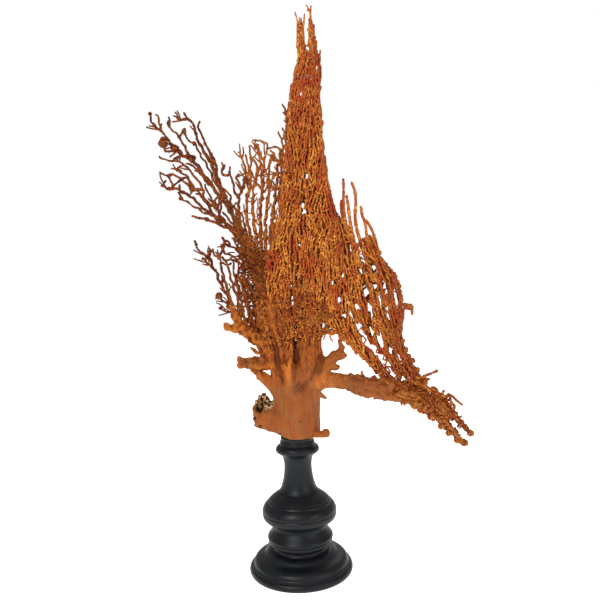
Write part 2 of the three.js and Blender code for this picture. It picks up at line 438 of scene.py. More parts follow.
neckRuns = [
    [(18.1, neckBottom), (16.4, 71.6), (15.1, 74.8), (13.8, 79.5), (12.7, 86), (12.3, 91.5), (12.6, 96.2)]
    + [(13.7, 100.2), (15.6, 102.6), (17.1, 103.5)],
    [(17.1, 103.5), (18.9, 104.7), (collarRadius, 106.5), (18.9, 108.6), (17.4, 110), (16.1, 110.7)],
    [(16.1, 110.7), (15.5, 110.9), (15.4, 111.5)],
    [(15.4, 111.5), (15.7, 112.2), (15.4, 113)],
    [(15.4, 113), (14.9, 113.2), (14.9, 113.6)],
    [(14.9, 113.6), (15.3, 114.2), (15.0, 114.9)],
    [(15.0, 114.9), (14.5, 115.1), (14.5, 115.5)],
    [(14.5, 115.5), (14.8, 116), (14.8, seatHeight - 0.4), (14.4, seatHeight)],
]


latheStep = 0.9
latheSides = 128
crispAngle = math.radians(28)


def turn(name, runs):
    # a disc drawn up and resized at each height, as on a lathe
    outline = [runs[0][0]]
    for run in runs:
        outline += [tuple(point) for point in smoothLine(run, latheStep)[1:]]
    radius, height = outline[0]
    bpy.ops.object.select_all(action="DESELECT")
    bpy.ops.mesh.primitive_circle_add(
        vertices=latheSides, radius=radius * mm, fill_type="NGON", location=(0, 0, height * mm)
    )
    piece = bpy.context.object
    piece.name = name
    bpy.ops.object.transform_apply(location=True)
    bpy.ops.object.mode_set(mode="EDIT")
    bpy.ops.mesh.select_all(action="SELECT")
    for nextRadius, nextHeight in outline[1:]:
        lift = (nextHeight - height) * mm
        bpy.ops.mesh.extrude_region_move(TRANSFORM_OT_translate={"value": (0, 0, lift)})
        grow = nextRadius / radius
        bpy.ops.transform.resize(value=(grow, grow, 1), center_override=(0, 0, nextHeight * mm))
        radius, height = nextRadius, nextHeight
    bpy.ops.mesh.select_all(action="SELECT")
    bpy.ops.mesh.normals_make_consistent(inside=False)
    bpy.ops.object.mode_set(mode="OBJECT")
    bpy.ops.object.shade_smooth_by_angle(angle=crispAngle)
    return piece


def makeStand():
    wood = makeEbonisedWood()
    foot = turn("standFootAndBulb", footRuns)
    finishPiece(foot, wood, ["stand_foot_and_bulb"])
    neck = turn("standNeckAndCollar", neckRuns)
    finishPiece(neck, wood, ["stand_neck_and_collar"])
    print("stand turned")


floorPaper = {"radius": 4, "colour": (0.9, 0.9, 0.89, 1), "roughness": 0.9}  # the radius in metres


def makeFloor():
    bpy.ops.object.select_all(action="DESELECT")
    bpy.ops.mesh.primitive_circle_add(vertices=64, radius=floorPaper["radius"], fill_type="NGON")
    floor = bpy.context.object
    floor.name = "floor"
    material, surface, _ = startMaterial("palePaper")
    surface.inputs["Base Color"].default_value = floorPaper["colour"]
    surface.inputs["Roughness"].default_value = floorPaper["roughness"]
    surface.inputs["Emission Color"].default_value = (1, 1, 1, 1)
    surface.inputs["Emission Strength"].default_value = studio["floorGlow"]
    floor.data.materials.append(material)


def makeStudio():
    # white where it is looked at, and dimmer as light, so the hollows keep their depth
    world = bpy.data.worlds.new("studio")
    bpy.context.scene.world = world
    world.use_nodes = True
    tree = world.node_tree
    looked = Wire(tree).node("ShaderNodeLightPath", output=0)  # Is Camera Ray
    background = tree.nodes["Background"]
    background.inputs["Color"].default_value = (1, 1, 1, 1)
    connect(tree, studio["around"] + (1 - studio["around"]) * looked, background.inputs["Strength"])
    bpy.context.scene.view_settings.view_transform = "Standard"
    makeLights()


def drawTubes(name, strands, sides=1):
    # one mesh of closed round tubes. Each strand is its points and its radii, in millimetres
    drawn = bpy.data.curves.new(name, "CURVE")
    drawn.dimensions = "3D"
    drawn.bevel_depth = mm
    drawn.bevel_resolution = sides
    drawn.use_fill_caps = True
    for points, radii in strands:
        spline = drawn.splines.new("POLY")
        spline.points.add(len(points) - 1)
        places = np.ones((len(points), 4))
        places[:, :3] = np.array(points) * mm
        spline.points.foreach_set("co", places.ravel())
        spline.points.foreach_set("radius", np.array(radii, float))
    piece = bpy.data.objects.new(name, drawn)
    bpy.context.collection.objects.link(piece)
    selectOnly(piece)
    bpy.ops.object.convert(target="MESH")
    return bpy.context.object


# stations as (across, up, depth, radius) from the root outwards, grown into one another
limbs = {
    "trunk": [
        [(-7, 112, 2, 12.5), (-8, 140, 2, 13), (-9, 160, 2, 12.5), (-10, 178, 2, 12)],
        [(9, 112, 2, 12.5), (9, 140, 2, 12.5), (10, 160, 2, 12.5), (11, 178, 2, 11.5)],
        [(1, 112, -4, 13.5), (1, 140, -4, 14), (1, 160, -3, 14), (1, 180, -2, 12)],
        [(0, 112, 8, 13.5), (0, 140, 8, 14), (1, 160, 8, 14), (0, 180, 7, 12)],
        [(-3.5, 112, -2, 13), (-4, 140, -2, 13.4), (-4, 160, -1, 13), (-5, 178, -1, 11.5)],
        [(5, 112, -2, 13), (5, 140, -2, 13.4), (5.5, 160, -1.5, 13), (6, 178, -1, 11.5)],
        [(-10, 133, 2, 13.5), (-22, 134, 2, 12.5), (-30, 135, 2, 9.5), (-36.5, 135.5, 3, 5)],
        [(-24, 130, 1, 7), (-31, 130, 1, 6), (-34, 133, 2, 5)],
        [(-20, 141, 4, 8), (-26, 147, 4, 6.5), (-28, 152, 4, 5), (-28.5, 156.5, 4, 3)],
        [(-33, 137, 3, 5), (-35, 144, 3, 3.5), (-34.5, 150, 3, 2.4), (-32.5, 156, 3, 1.8)],
        [(10, 119.5, -5, 5.5), (20, 117.0, -8, 4.6), (25.3, 117.9, -9, 4.2), (27.0, 121.4, -9, 3.3)],
        [(18, 158, -2, 4.4), (22.5, 154, -3, 2.4), (27.4, 150.6, -3, 1.4)],
    ],
    "left": [
        [
            (-9, 165, 3, 12), (-12, 190, 3, 11), (-15, 215, 4, 10), (-20, 240, 5, 8.5), (-27, 262, 7, 7),
            (-34, 282, 9, 5), (-41, 298, 10, 3),
        ],
        [
            (-4, 180, 0, 8), (-6, 205, 0, 8), (-9, 230, 1, 8), (-12, 255, 3, 6.5), (-14, 282, 4, 4.5),
            (-15, 308, 5, 2.5),
        ],
        [(-18, 182, -3, 6), (-22, 205, -3, 5.5), (-26, 222, -2, 4.5), (-30, 240, 1, 3.5)],
    ],
    "centre": [
        [
            (12, 164, -1, 10.5), (13, 180, -4, 11), (13.5, 198, -4, 10.5), (14, 214, -2, 8.5),
            (15, 232, -2, 5.5), (16, 250, -2, 3),
        ],
        [(19, 176, -4, 6), (20, 196, -5, 5), (22, 212, -4, 3.5), (26, 226, -3, 2.4)],
        [(6, 182, -7, 4), (8, 198, -8, 3.6), (8, 212, -7, 2.6)],
    ],
    "upperRight": [
        [(19, 167, -3, 8), (27, 177, -4, 6), (34, 186, -5, 5), (40, 189.5, -5, 5), (43.5, 188, -5, 4.5)],
        [(42, 190, -5, 4), (42.5, 197, -5, 2.4), (41.5, 203, -5, 1.8)],
        [(30, 184, -4, 3), (26, 188, -4, 1.8), (24, 194, -4, 1.5), (23.5, 201, -4, 1.2)],
        [(34, 180, -5, 4), (38, 178, -5, 3), (40.5, 180, -5, 1.6)],
    ],
    "rightArm": [
        [
            (14, 164, 0, 10), (24, 166.6, -4, 7.8), (32, 167, -5, 7), (48, 164.6, -6, 7.2),
            (64, 160.6, -7, 8.5), (79, 157.4, -8, 9), (90, 154.5, -9, 7.8), (102, 150, -9.5, 5),
            (114, 143, -10, 3.2), (124, 136, -10, 2),
        ],
        [(52, 160, -8, 6), (60, 157.6, -9, 5.4), (70, 156, -10, 5.6)],
    ],
    "lowerLeft": [
        [
            (-12, 178, 0, 9), (-22, 193, -2, 6.6), (-30, 204, -3, 4.8), (-39, 212, -4, 4.6),
            (-48, 218, -6, 4.6),
        ],
        [(-44, 213, -5, 4), (-54, 217, -7, 3.2), (-61, 218.5, -8, 2.8)],
        [(-47, 217, -6, 4), (-51, 226, -8, 3.4), (-54, 235, -10, 3)],
        [(-16, 191, -3, 3), (-24, 192.4, -5, 1.5), (-32, 193.6, -6, 1.3), (-38.5, 198.6, -6, 1.7)],
    ],
    "stub": [
        [(-14, 184, -2, 7), (-26, 184.5, -5, 5.4), (-37, 184.5, -7, 4.6), (-46, 185.5, -8, 4.2)],
        [(-42, 186, -8, 3.4), (-48, 187.5, -9, 2.8), (-51, 189, -9, 2.2)],
        [(-42, 184, -8, 3.2), (-48, 183.5, -9, 2.8), (-51, 182, -9, 2.4)],
        [(-16, 160, 0, 7), (-23, 167, -2, 5), (-30, 173.4, -4, 3.4), (-38, 179.6, -6, 2.8)],
    ],
}
limbNodes = [
    "trunk", "right_arm", "centre_limb", "upper_left_limb", "lower_left_limb", "left_stub",
    "upper_right_limb",
]
# strands fused to a limb's outside: limb, line, how many, their radius, and where along it they begin
ribbed = [
    ("left", 0, 19, 1.7, 0.06), ("left", 1, 14, 1.6, 0.1), ("left", 2, 10, 1.4, 0.0),
    ("centre", 0, 14, 1.2, 0.45), ("lowerLeft", 0, 11, 1.4, 0.15), ("lowerLeft", 2, 6, 1.0, 0.1),
    ("rightArm", 0, 13, 1.5, 0.5), ("stub", 0, 8, 1.2, 0.2), ("stub", 3, 6, 1.1, 0.1),
]
holdfastHoles = [
    (-33.5, 150.5, 2.6), (-24, 152.5, 1.7), (-34.5, 143.5, 3.0), (-29, 155.5, 1.5), (-28, 148, 1.6),
    (-31.5, 146.5, 1.3), (-26.5, 156, 1.2), (-38, 134, 1.3), (-33, 127.5, 1.2),
]
smallPits = [
    (1.5, 164, 1.3), (4, 133, 0.9), (14, 119, 0.8), (-15, 121, 1.0), (62, 158, 0.9), (73, 154.5, 0.8),
]
# hollows that run between the limbs, as lines, sunk in and painted with shade
creases = [
    [(-1, 160), (-1, 168), (0.5, 180), (2, 192), (3, 204)],
    [(0, 160), (8, 163), (16, 170), (21, 179), (24, 188)],
    [(-2, 163), (1, 165), (4, 165)],
    [(-12, 168), (-14, 184), (-18, 200), (-24, 214)],
    [(-8, 196), (-9, 214), (-12, 236)],
]


def roundedLine(line, radii):
    # through the points, with a small cap at its end
    points = [alongSight(a, b, d) for a, b, d in line]
    last = np.array(points[-1])
    tip = last + (last - np.array(points[-2])) * radii[-1] / 4
    return points + [tuple(tip)], [*radii, radii[-1] * 0.6]


def ribs(stations, count, radius, begin, seed):
    line = smoothLine(stations, 2.5)
    line = line[int(begin * (len(line) - 3)):]
    centres = np.array([alongSight(a, b, d) for a, b, d in line[:, :3]])
    strands = []
    draw = random.Random(seed)
    for n in range(count):
        turned = math.tau * (n + draw.uniform(-0.3, 0.3)) / count
        points, radii = [], []
        for k in range(len(line)):
            ahead = centres[min(k + 1, len(line) - 1)] - centres[max(k - 1, 0)]
            side = np.cross(ahead, (0, 1, 0))
            side = side / np.linalg.norm(side)
            front = np.cross(side, ahead)
            front = front / np.linalg.norm(front)
            angle = turned + 0.9 * noise.noise(Vector((k * 0.2, seed, n * 3.1)))
            share = k / (len(line) - 1)
            out = line[k, 3] * (0.8 + 0.2 * blend(share, 0, 0.22))
            points.append(tuple(centres[k] + (side * math.cos(angle) + front * math.sin(angle)) * out))
            radii.append(radius * (0.7 + 0.3 * blend(share, 0, 0.3)) * (1 - 0.25 * share))
        strands.append((points, radii))
    return strands


def limbTubes():
    strands = []
    for stations in [line for group in limbs.values() for line in group]:
        line = smoothLine(stations, 2.0)
        strands.append(roundedLine(line[:, :3], list(line[:, 3])))
    for seed, (group, number, count, radius, begin) in enumerate(ribbed):
        strands += ribs(limbs[group][number], count, radius, begin, seed + 1)
    return strands + fusedColumns()


def fusedAt(at):
    # 0 on the smooth old rind, 1 where the twigs have grown together
    high = blend(at.z, 156, 198) * (1 - 0.55 * blend(at.x, 18, 30))
    arm = blend(at.x, 84, 104)
    left = 0.85 * blend(-at.x, 20, 32) * blend(at.z, 157, 170)
    return max(high, arm, left)


def valleys(mesh):
    # how far each point lies below its neighbourhood: 0 on a crown, 1 in a groove
    count = len(mesh.vertices)
    edges = np.zeros(len(mesh.edges) * 2, dtype=np.int64)
    mesh.edges.foreach_get("vertices", edges)
    edges = edges.reshape(-1, 2)
    ends = np.concatenate((edges[:, 0], edges[:, 1]))
    others = np.concatenate((edges[:, 1], edges[:, 0]))
    shares = np.bincount(ends, minlength=count)[:, None]
    places = np.zeros(count * 3)
    mesh.vertices.foreach_get("co", places)
    normals = np.zeros(count * 3)
    mesh.vertex_normals.foreach_get("vector", normals)
    places = places.reshape(-1, 3) / mm
    average = places.copy()
    for sweep in range(5):
        sums = [np.bincount(ends, weights=average[others, axis], minlength=count) for axis in range(3)]
        average = np.stack(sums, axis=1) / np.maximum(shares, 1)
    below = ((average - places) * normals.reshape(-1, 3)).sum(1)
    return np.clip(0.5 + below * 1.4, 0, 1)


# how far the rind rises and sinks, in millimetres, and how much shade is painted into its hollows
weather = {
    "smooth": 0.5,  # grooves on the old rind, and the same again where twigs have fused
    "knobs": 1.9,
    "lumps": 1.0,
    "beads": 0.6,
    "torn": 0.8,
    "crust": 2.2,
    "tornReach": (7.5, 11),
    "holeDepth": 1.9,
    "holePaintedShade": 1.7,
    "pitDepth": 0.6,
    "pitPaintedShade": 0.8,
    "creaseDepth": 3.0,
    "creaseWidth": 5.5,
    "creasePaintedShade": 0.42,
}


def weatherLimbs(piece):
    # grooves, lumps and pits, moved along the normals, with shade painted where they sink
    mesh = piece.data
    count = len(mesh.vertices)
    places = np.zeros(count * 3)
    mesh.vertices.foreach_get("co", places)
    normals = np.zeros(count * 3)
    mesh.vertex_normals.foreach_get("vector", normals)
    places = places.reshape(-1, 3) / mm
    normals = normals.reshape(-1, 3)
    moves = np.zeros(count)
    paintedHollowShades = np.zeros(count)
    fused = np.zeros(count)
    creased = np.zeros(count)
    home = Vector(rind["holdfast"])
    for index, place in enumerate(places):
        at = Vector(place)
        rough = fusedAt(at)
        sideways = blend(at.x, 22, 30)
        upright = noise.noise(Vector((at.x / 3.4, at.y / 3.4, at.z / 24)))
        level = noise.noise(Vector((at.x / 4.6, at.y / 4.6, at.z / 4.6)))
        grooves = upright * (1 - sideways) + level * sideways
        lumps = noise.noise(at / 6.5)
        beads = noise.noise(Vector((at.x / 2.2, at.y / 2.2, at.z / 4.5)))
        armKnobs = 1.7 * noise.noise(at / 4.3) * blend(at.x, 34, 50)
        stubKnobs = noise.noise(at / 4.4) * blend(-at.x, 20, 30)
        move = (weather["smooth"] + weather["smooth"] * rough) * grooves
        move = move + weather["knobs"] * (armKnobs + stubKnobs)
        move = move + (0.25 + rough) * (weather["lumps"] * lumps + weather["beads"] * beads)
        # painted shade in the low grooves and between the fused beads
        hollow = max(0, -grooves * 1.4 - 0.2) * (0.15 + 0.5 * rough) + max(0, -beads - 0.2) * rough * 0.9
        torn = 1 - blend((at - home).length, *weather["tornReach"])
        if torn > 0:
            crust = noise.noise(at / 2.6)
            move -= torn * (weather["torn"] + weather["crust"] * max(0, crust))
            # painted shade in the torn holdfast where its crust sinks deepest
            hollow = max(hollow, torn * min(1, max(0, crust * 4 - 0.8)))
        moves[index] = move
        paintedHollowShades[index] = hollow
        fused[index] = rough
    bored = (weather["holeDepth"], weather["holePaintedShade"], holdfastHoles)
    pitted = (weather["pitDepth"], weather["pitPaintedShade"], smallPits)
    # each hole and pit is sunk in and painted with shade, darkest in its middle
    for deepness, paintedDarkness, holes in (bored, pitted):
        for across, up, radius in holes:
            centre = alongSight(across, up, -6)
            gap = np.hypot(places[:, 0] - centre[0], places[:, 2] - centre[2])
            fall = np.clip(1 - (gap / (radius * 1.3)) ** 2, 0, 1)
            fall[places[:, 1] > 4] = 0
            moves -= deepness * radius * fall
            paintedHollowShades = np.maximum(paintedHollowShades, np.clip(paintedDarkness * fall, 0, 1))
    for line in creases:
        for across, up, _ in smoothLine([(a, b, 0) for a, b in line], 1.0):
            centre = alongSight(across, up, -10)
            gap = np.hypot(places[:, 0] - centre[0], places[:, 2] - centre[2])
            fall = np.clip(1 - gap / weather["creaseWidth"], 0, 1) ** 1.5
            fall[normals[:, 1] > -0.15] = 0
            creased = np.maximum(creased, fall)
    # painted shade along the creases between the limbs
    moves -= weather["creaseDepth"] * creased
    paintedHollowShades = np.maximum(paintedHollowShades, weather["creasePaintedShade"] * creased)
    places += normals * moves[:, None]
    mesh.vertices.foreach_set("co", (places * mm).ravel())
    mesh.update()
    mesh.attributes.new("valley", "FLOAT", "POINT").data.foreach_set("value", valleys(mesh))
    mesh.attributes.new("hollow", "FLOAT", "POINT").data.foreach_set("value", np.clip(paintedHollowShades, 0, 1))
    mesh.attributes.new("fused", "FLOAT", "POINT").data.foreach_set("value", fused)


def cutFlat(piece, place, normal):
    selectOnly(piece)
    bpy.ops.object.mode_set(mode="EDIT")
    bpy.ops.mesh.select_all(action="SELECT")
    bpy.ops.mesh.bisect(plane_co=place, plane_no=normal, use_fill=True, clear_inner=True)
    bpy.ops.object.mode_set(mode="OBJECT")


voxelSize = 0.8
seatGap = 0.3  # between the collar and the coral's flat underside


def makeLimbs():
    piece = drawTubes("trunkAndLimbs", limbTubes(), sides=6)
    useModifier(piece, "REMESH", {"mode": "VOXEL", "voxel_size": voxelSize * mm})
    useModifier(piece, "SMOOTH", {"factor": 0.5, "iterations": 4})
    weatherLimbs(piece)
    seat = seatHeight + seatGap
    cutFlat(piece, (0, 0, seat * mm), (0, 0, 1))
    cutFlat(piece, (-6 * mm, 0, seat * mm), (0.27, 0, 1))
    piece.data.validate()  # the cuts can leave a doubled face
    selectOnly(piece)
    bpy.ops.object.shade_smooth()
    finishPiece(piece, makeRind(), limbNodes)
    piece.data.calc_loop_triangles()
    print("trunk and limbs grown,", len(piece.data.loop_triangles), "triangles")


# Every line below is drawn as (across, up), and each fan gives a line its depth, so the fans curve.
# Roots come first and tips last. A number passed beside a line is the seed of its own variation.
def inside(point, outline):
    x, y = point
    found = False
    for (x1, y1), (x2, y2) in zip(outline, outline[1:] + outline[:1]):
        if (y1 > y) != (y2 > y) and x < (x2 - x1) * (y - y1) / (y2 - y1) + x1:
            found = not found
    return found


class Patch:
    # the lines on one leaf of a fan, kept in cells so that a growing line feels its neighbours
    def __init__(self, cell):
        self.cell = cell
        self.cells = {}
        self.lines = []

    def key(self, point):
        return int(point[0] // self.cell), int(point[1] // self.cell)

    def add(self, line):
        number = len(self.lines)
        self.lines.append(line)
        for x, y in line:
            self.cells.setdefault(self.key((x, y)), []).append((x, y, number))

    def nearest(self, point, leaveOut=-1):
        best = (1e9, None)
        column, row = self.key(point)
        for i in (column - 1, column, column + 1):
            for j in (row - 1, row, row + 1):
                for x, y, number in self.cells.get((i, j), ()):
                    if number != leaveOut:
                        gap = math.hypot(x - point[0], y - point[1])
                        if gap < best[0]:
                            best = (gap, (x, y))
        return best


class Leaf:
    # where strands may grow: an outline, guide lines that give the direction, and gaps left open
    def __init__(self, outline, guides, gaps=()):
        self.outline = outline
        places, headings = [], []
        for guide in guides:
            line = smoothLine(guide, 6)[:, :2]
            steps = np.diff(line, axis=0)
            places += list(line[:-1] + steps / 2)
            headings += list(steps / np.hypot(steps[:, 0], steps[:, 1])[:, None])
        self.places = np.array(places)
        self.headings = np.array(headings)
        self.gaps = []
        for across, up, wide, long in gaps:
            ahead = self.heading(np.array((across, up)))
            self.gaps.append((across, up, ahead, wide, long))

    def heading(self, point):
        near = 1 / (((self.places - point) ** 2).sum(1) + 12) ** 1.6
        total = (self.headings * near[:, None]).sum(0)
        return total / math.hypot(*total)

    def allows(self, point):
        if not inside(point, self.outline):
            return False
        for across, up, ahead, wide, long in self.gaps:
            x, y = point[0] - across, point[1] - up
            along = (x * ahead[0] + y * ahead[1]) / (long + 0.8)
            aside = (x * ahead[1] - y * ahead[0]) / (wide + 0.9)
            if along * along + aside * aside < 1:
                return False
        return True


growth = {
    "stride": 1.1,
    "most": 280,
    "meet": 0.48,  # of the spacing: nearer than this, a line runs into its neighbour
    "apart": 0.75,  # of the spacing: a new line starts no nearer to another
    "shortest": 6,
    "pitch": 1.1,
    "tall": 1.6,
}


def growLine(start, leaf, patch, spacing, seed, wander):
    # both ways from the start, until the edge or another line is met
    coarse, fine = wander
    halves = []
    for way in (1, -1):
        point = np.array(start, float)
        half = []
        for step in range(growth["most"]):
            ahead = leaf.heading(point) * way
            x, y = point
            angle = coarse * noise.noise(Vector((x / 11, y / 17, seed)))
            angle += fine * noise.noise(Vector((x / 3.1, y / 3.6, seed + 40)))
            cos, sin = math.cos(angle), math.sin(angle)
            turned = np.array((ahead[0] * cos - ahead[1] * sin, ahead[0] * sin + ahead[1] * cos))
            point = point + turned * growth["stride"]
            if not leaf.allows(point):
                break
            gap, other = patch.nearest(point)
            if gap < spacing * growth["meet"]:
                half.append(other)
                break
            half.append((point[0], point[1]))
        halves.append(half)
    return halves[1][::-1] + [tuple(start)] + halves[0]


def weave(leaf, spacing, seed, wander):
    # near parallel lines that run into each other, all over the leaf
    draw = random.Random(seed)
    patch = Patch(spacing)
    xs, ys = zip(*leaf.outline)
    pitch = spacing * growth["pitch"]
    starts = []
    for i in range(int((max(xs) - min(xs)) / pitch) + 1):
        for j in range(int((max(ys) - min(ys)) / (pitch * growth["tall"])) + 1):
            x = min(xs) + (i + draw.random()) * pitch
            y = min(ys) + (j + draw.random()) * pitch * growth["tall"]
            starts.append((x, y))
    draw.shuffle(starts)
    for start in starts:
        if patch.nearest(start)[0] > spacing * growth["apart"] and leaf.allows(start):
            line = growLine(start, leaf, patch, spacing, seed, wander)
            if len(line) >= growth["shortest"]:
                patch.add(line)
    return patch


shoot = {"lean": 0.8, "curl": 0.16, "touch": 1.2}


def sprouts(patch, count, lengths, seed):
    # side twigs that leave a line, bend with it, and may run into the next one
    draw = random.Random(seed)
    mothers = len(patch.lines)
    made = []
    for attempt in range(count):
        mother = draw.randrange(mothers)
        line = patch.lines[mother]
        if len(line) < 6:
            continue
        root = draw.randrange(1, len(line) - 2)
        point = np.array(line[root], float)
        ahead = np.array(line[root + 1]) - point
        ahead = ahead / (math.hypot(*ahead) + 1e-9)
        side = np.array((-ahead[1], ahead[0])) * draw.choice((-1, 1))
        twig = [tuple(point)]
        turnBy = draw.uniform(0.7, 1.3) * shoot["lean"]
        fade = draw.uniform(0.8, 0.97)
        for step in range(int(draw.uniform(*lengths))):
            forward = ahead + side * turnBy
            point = point + forward / math.hypot(*forward)
            turnBy = turnBy * fade + draw.uniform(-shoot["curl"], shoot["curl"])
            gap, other = patch.nearest(point, mother)
            if gap < shoot["touch"] and step > 2:
                twig.append(other)
                break
            twig.append(tuple(point))
        if len(twig) > 3:
            patch.add(twig)
            made.append(twig)
    return made


def crossLinks(patch, count, reach, seed):
    # short slanting links between neighbours
    draw = random.Random(seed)
    links = []
    for attempt in range(count):
        mother = draw.randrange(len(patch.lines))
        x, y = draw.choice(patch.lines[mother])
        aside = (x + draw.uniform(-reach, reach), y + draw.uniform(-reach, reach))
        _, other = patch.nearest(aside, mother)
        if other and 1.5 < math.hypot(other[0] - x, other[1] - y) < reach * 1.5:
            middle = ((x + other[0]) / 2, (y + other[1]) / 2 + draw.uniform(-0.6, 0.6))
            links.append([(x, y), middle, tuple(other)])
    return links


def curls(patch, count, lengths, seed, allows):
    # short crooked twigs that stand off the leaf
    draw = random.Random(seed)
    made = []
    for attempt in range(count):
        line = draw.choice(patch.lines)
        point = np.array(draw.choice(line), float)
        angle = draw.uniform(0, math.tau)
        twig = [tuple(point)]
        for step in range(int(draw.uniform(*lengths))):
            angle += draw.uniform(-0.75, 0.75)
            point = point + (math.cos(angle), math.sin(angle))
            if not allows(point):
                break
            twig.append(tuple(point))
        if len(twig) > 2:
            made.append(twig)
    return made


def dress(
    line, depthAt, radius, seed, rough=0.16, tip=0.75, bow=0.9, root=1.0, step=1.1, lift=0, sink=0, wobble=0
):
    # a drawn line made a beaded twig, with its depth and its radius from root to tip
    draw = random.Random(seed)
    fine = smoothLine(line, step)
    last = len(fine) - 1
    drift = draw.uniform(-bow, bow)
    swell = draw.uniform(0, 50)
    points, radii = [], []
    for index, (across, up) in enumerate(fine):
        share = index / last
        depth = depthAt(across, up) + drift * math.sin(math.pi * share) + lift * share
        depth += sink * max(0, 1 - index / 5)
        if wobble:
            across += wobble * noise.noise(Vector((across / 5, up / 5, seed + 0.5)))
            up += wobble * noise.noise(Vector((across / 5, up / 5, seed + 30.5)))
        points.append(alongSight(across, up, depth))
        ripple = 1.7 * noise.noise(Vector((index * 0.37 + swell, seed % 97, 0)))
        bead = 1 + rough * (ripple + draw.uniform(-0.6, 0.6))
        radii.append(radius * (root + (tip - root) * share) * bead)
    for end, inner in ((0, 1), (-1, -2)):
        edge = np.array(points[end])
        out = edge - np.array(points[inner])
        cap = tuple(edge + out / (np.linalg.norm(out) + 1e-9) * radii[end] * 0.7)
        points.insert(0 if end == 0 else len(points), cap)
        radii.insert(0 if end == 0 else len(radii), radii[end] * 0.55)
    return points, radii


def gall(across, up, depth, radius, seed):
    # a swollen node: one bumpy ball, and two smaller ones grown into it
    draw = random.Random(seed)
    balls = [(across, up, depth, radius)]
    for extra in range(2):
        angle = draw.uniform(0, math.tau)
        out = radius * draw.uniform(0.35, 0.6)
        place = (across + out * math.cos(angle), up + out * math.sin(angle))
        behind = depth + draw.uniform(-0.5, 0.3) * radius
        balls.append((*place, behind, radius * draw.uniform(0.55, 0.75)))
    strands = []
    for x, y, z, size in balls:
        tilt = draw.uniform(0, math.tau)
        points, radii = [], []
        for k in range(11):
            angle = math.pi * (k + 0.2) / 10.4
            reach = -size * math.cos(angle)
            points.append(alongSight(x + reach * math.cos(tilt), y + reach * math.sin(tilt), z))
            radii.append(max(0.12, size * math.sin(angle) * (1 + draw.uniform(-0.08, 0.08))))
        strands.append((points, radii))
    return strands


def makeFan(name, strands, material, nodes):
    piece = drawTubes(name, strands)
    selectOnly(piece)
    bpy.ops.object.shade_smooth()
    finishPiece(piece, material, nodes)
    piece.data.calc_loop_triangles()
    print(name, "-", len(strands), "twigs,", len(piece.data.loop_triangles), "triangles")


def numbered(prefix, numbers):
    return [prefix + "_" + str(n) for n in numbers]


def eased(points, ease):
    # drawn points slid to where they sit, to a tenth of a millimetre
    slid = []
    for across, up, *radius in points:
        x, y = ease(across, up)
        slid.append((round(x, 1), round(y, 1), *radius))
    return slid


def easedFan(fan, ease):
    # the fan with its lines and its knots slid
    slid = {**fan, "galls": eased(fan["galls"], ease)}
    for key in ("main", "ropes", "twigs"):
        if key in fan:
            slid[key] = [eased(line, ease) for line in fan[key]]
    return slid


def openFan(fan, depthAt, seed):
    # the open fans, drawn strand by strand, with small twigs grown on them
    strands = []
    patch = Patch(3)
    size = fan["radius"]
    for n, line in enumerate(fan["main"]):
        patch.add([tuple(p) for p in smoothLine(line, 1.0)])
        strand = dress(line, depthAt, size * 1.4, seed + n, tip=0.62, root=1.4, rough=0.24, wobble=1.6)
        strands.append(strand)
    for n, line in enumerate(fan["twigs"]):
        patch.add([tuple(p) for p in smoothLine(line, 1.0)])
        strand = dress(line, depthAt, size, seed + 50 + n, tip=0.8, root=1.1, rough=0.22, wobble=1.8)
        strands.append(strand)
    count, lengths = fan["sprouts"]
    for n, line in enumerate(sprouts(patch, count, lengths, seed)):
        strands.append(dress(line, depthAt, size * 0.75, seed + 150 + n, tip=0.8))
    for n, (across, up, radius) in enumerate(fan["galls"]):
        strands += gall(across, up, depthAt(across, up), radius * 0.9, seed + n)
    return strands


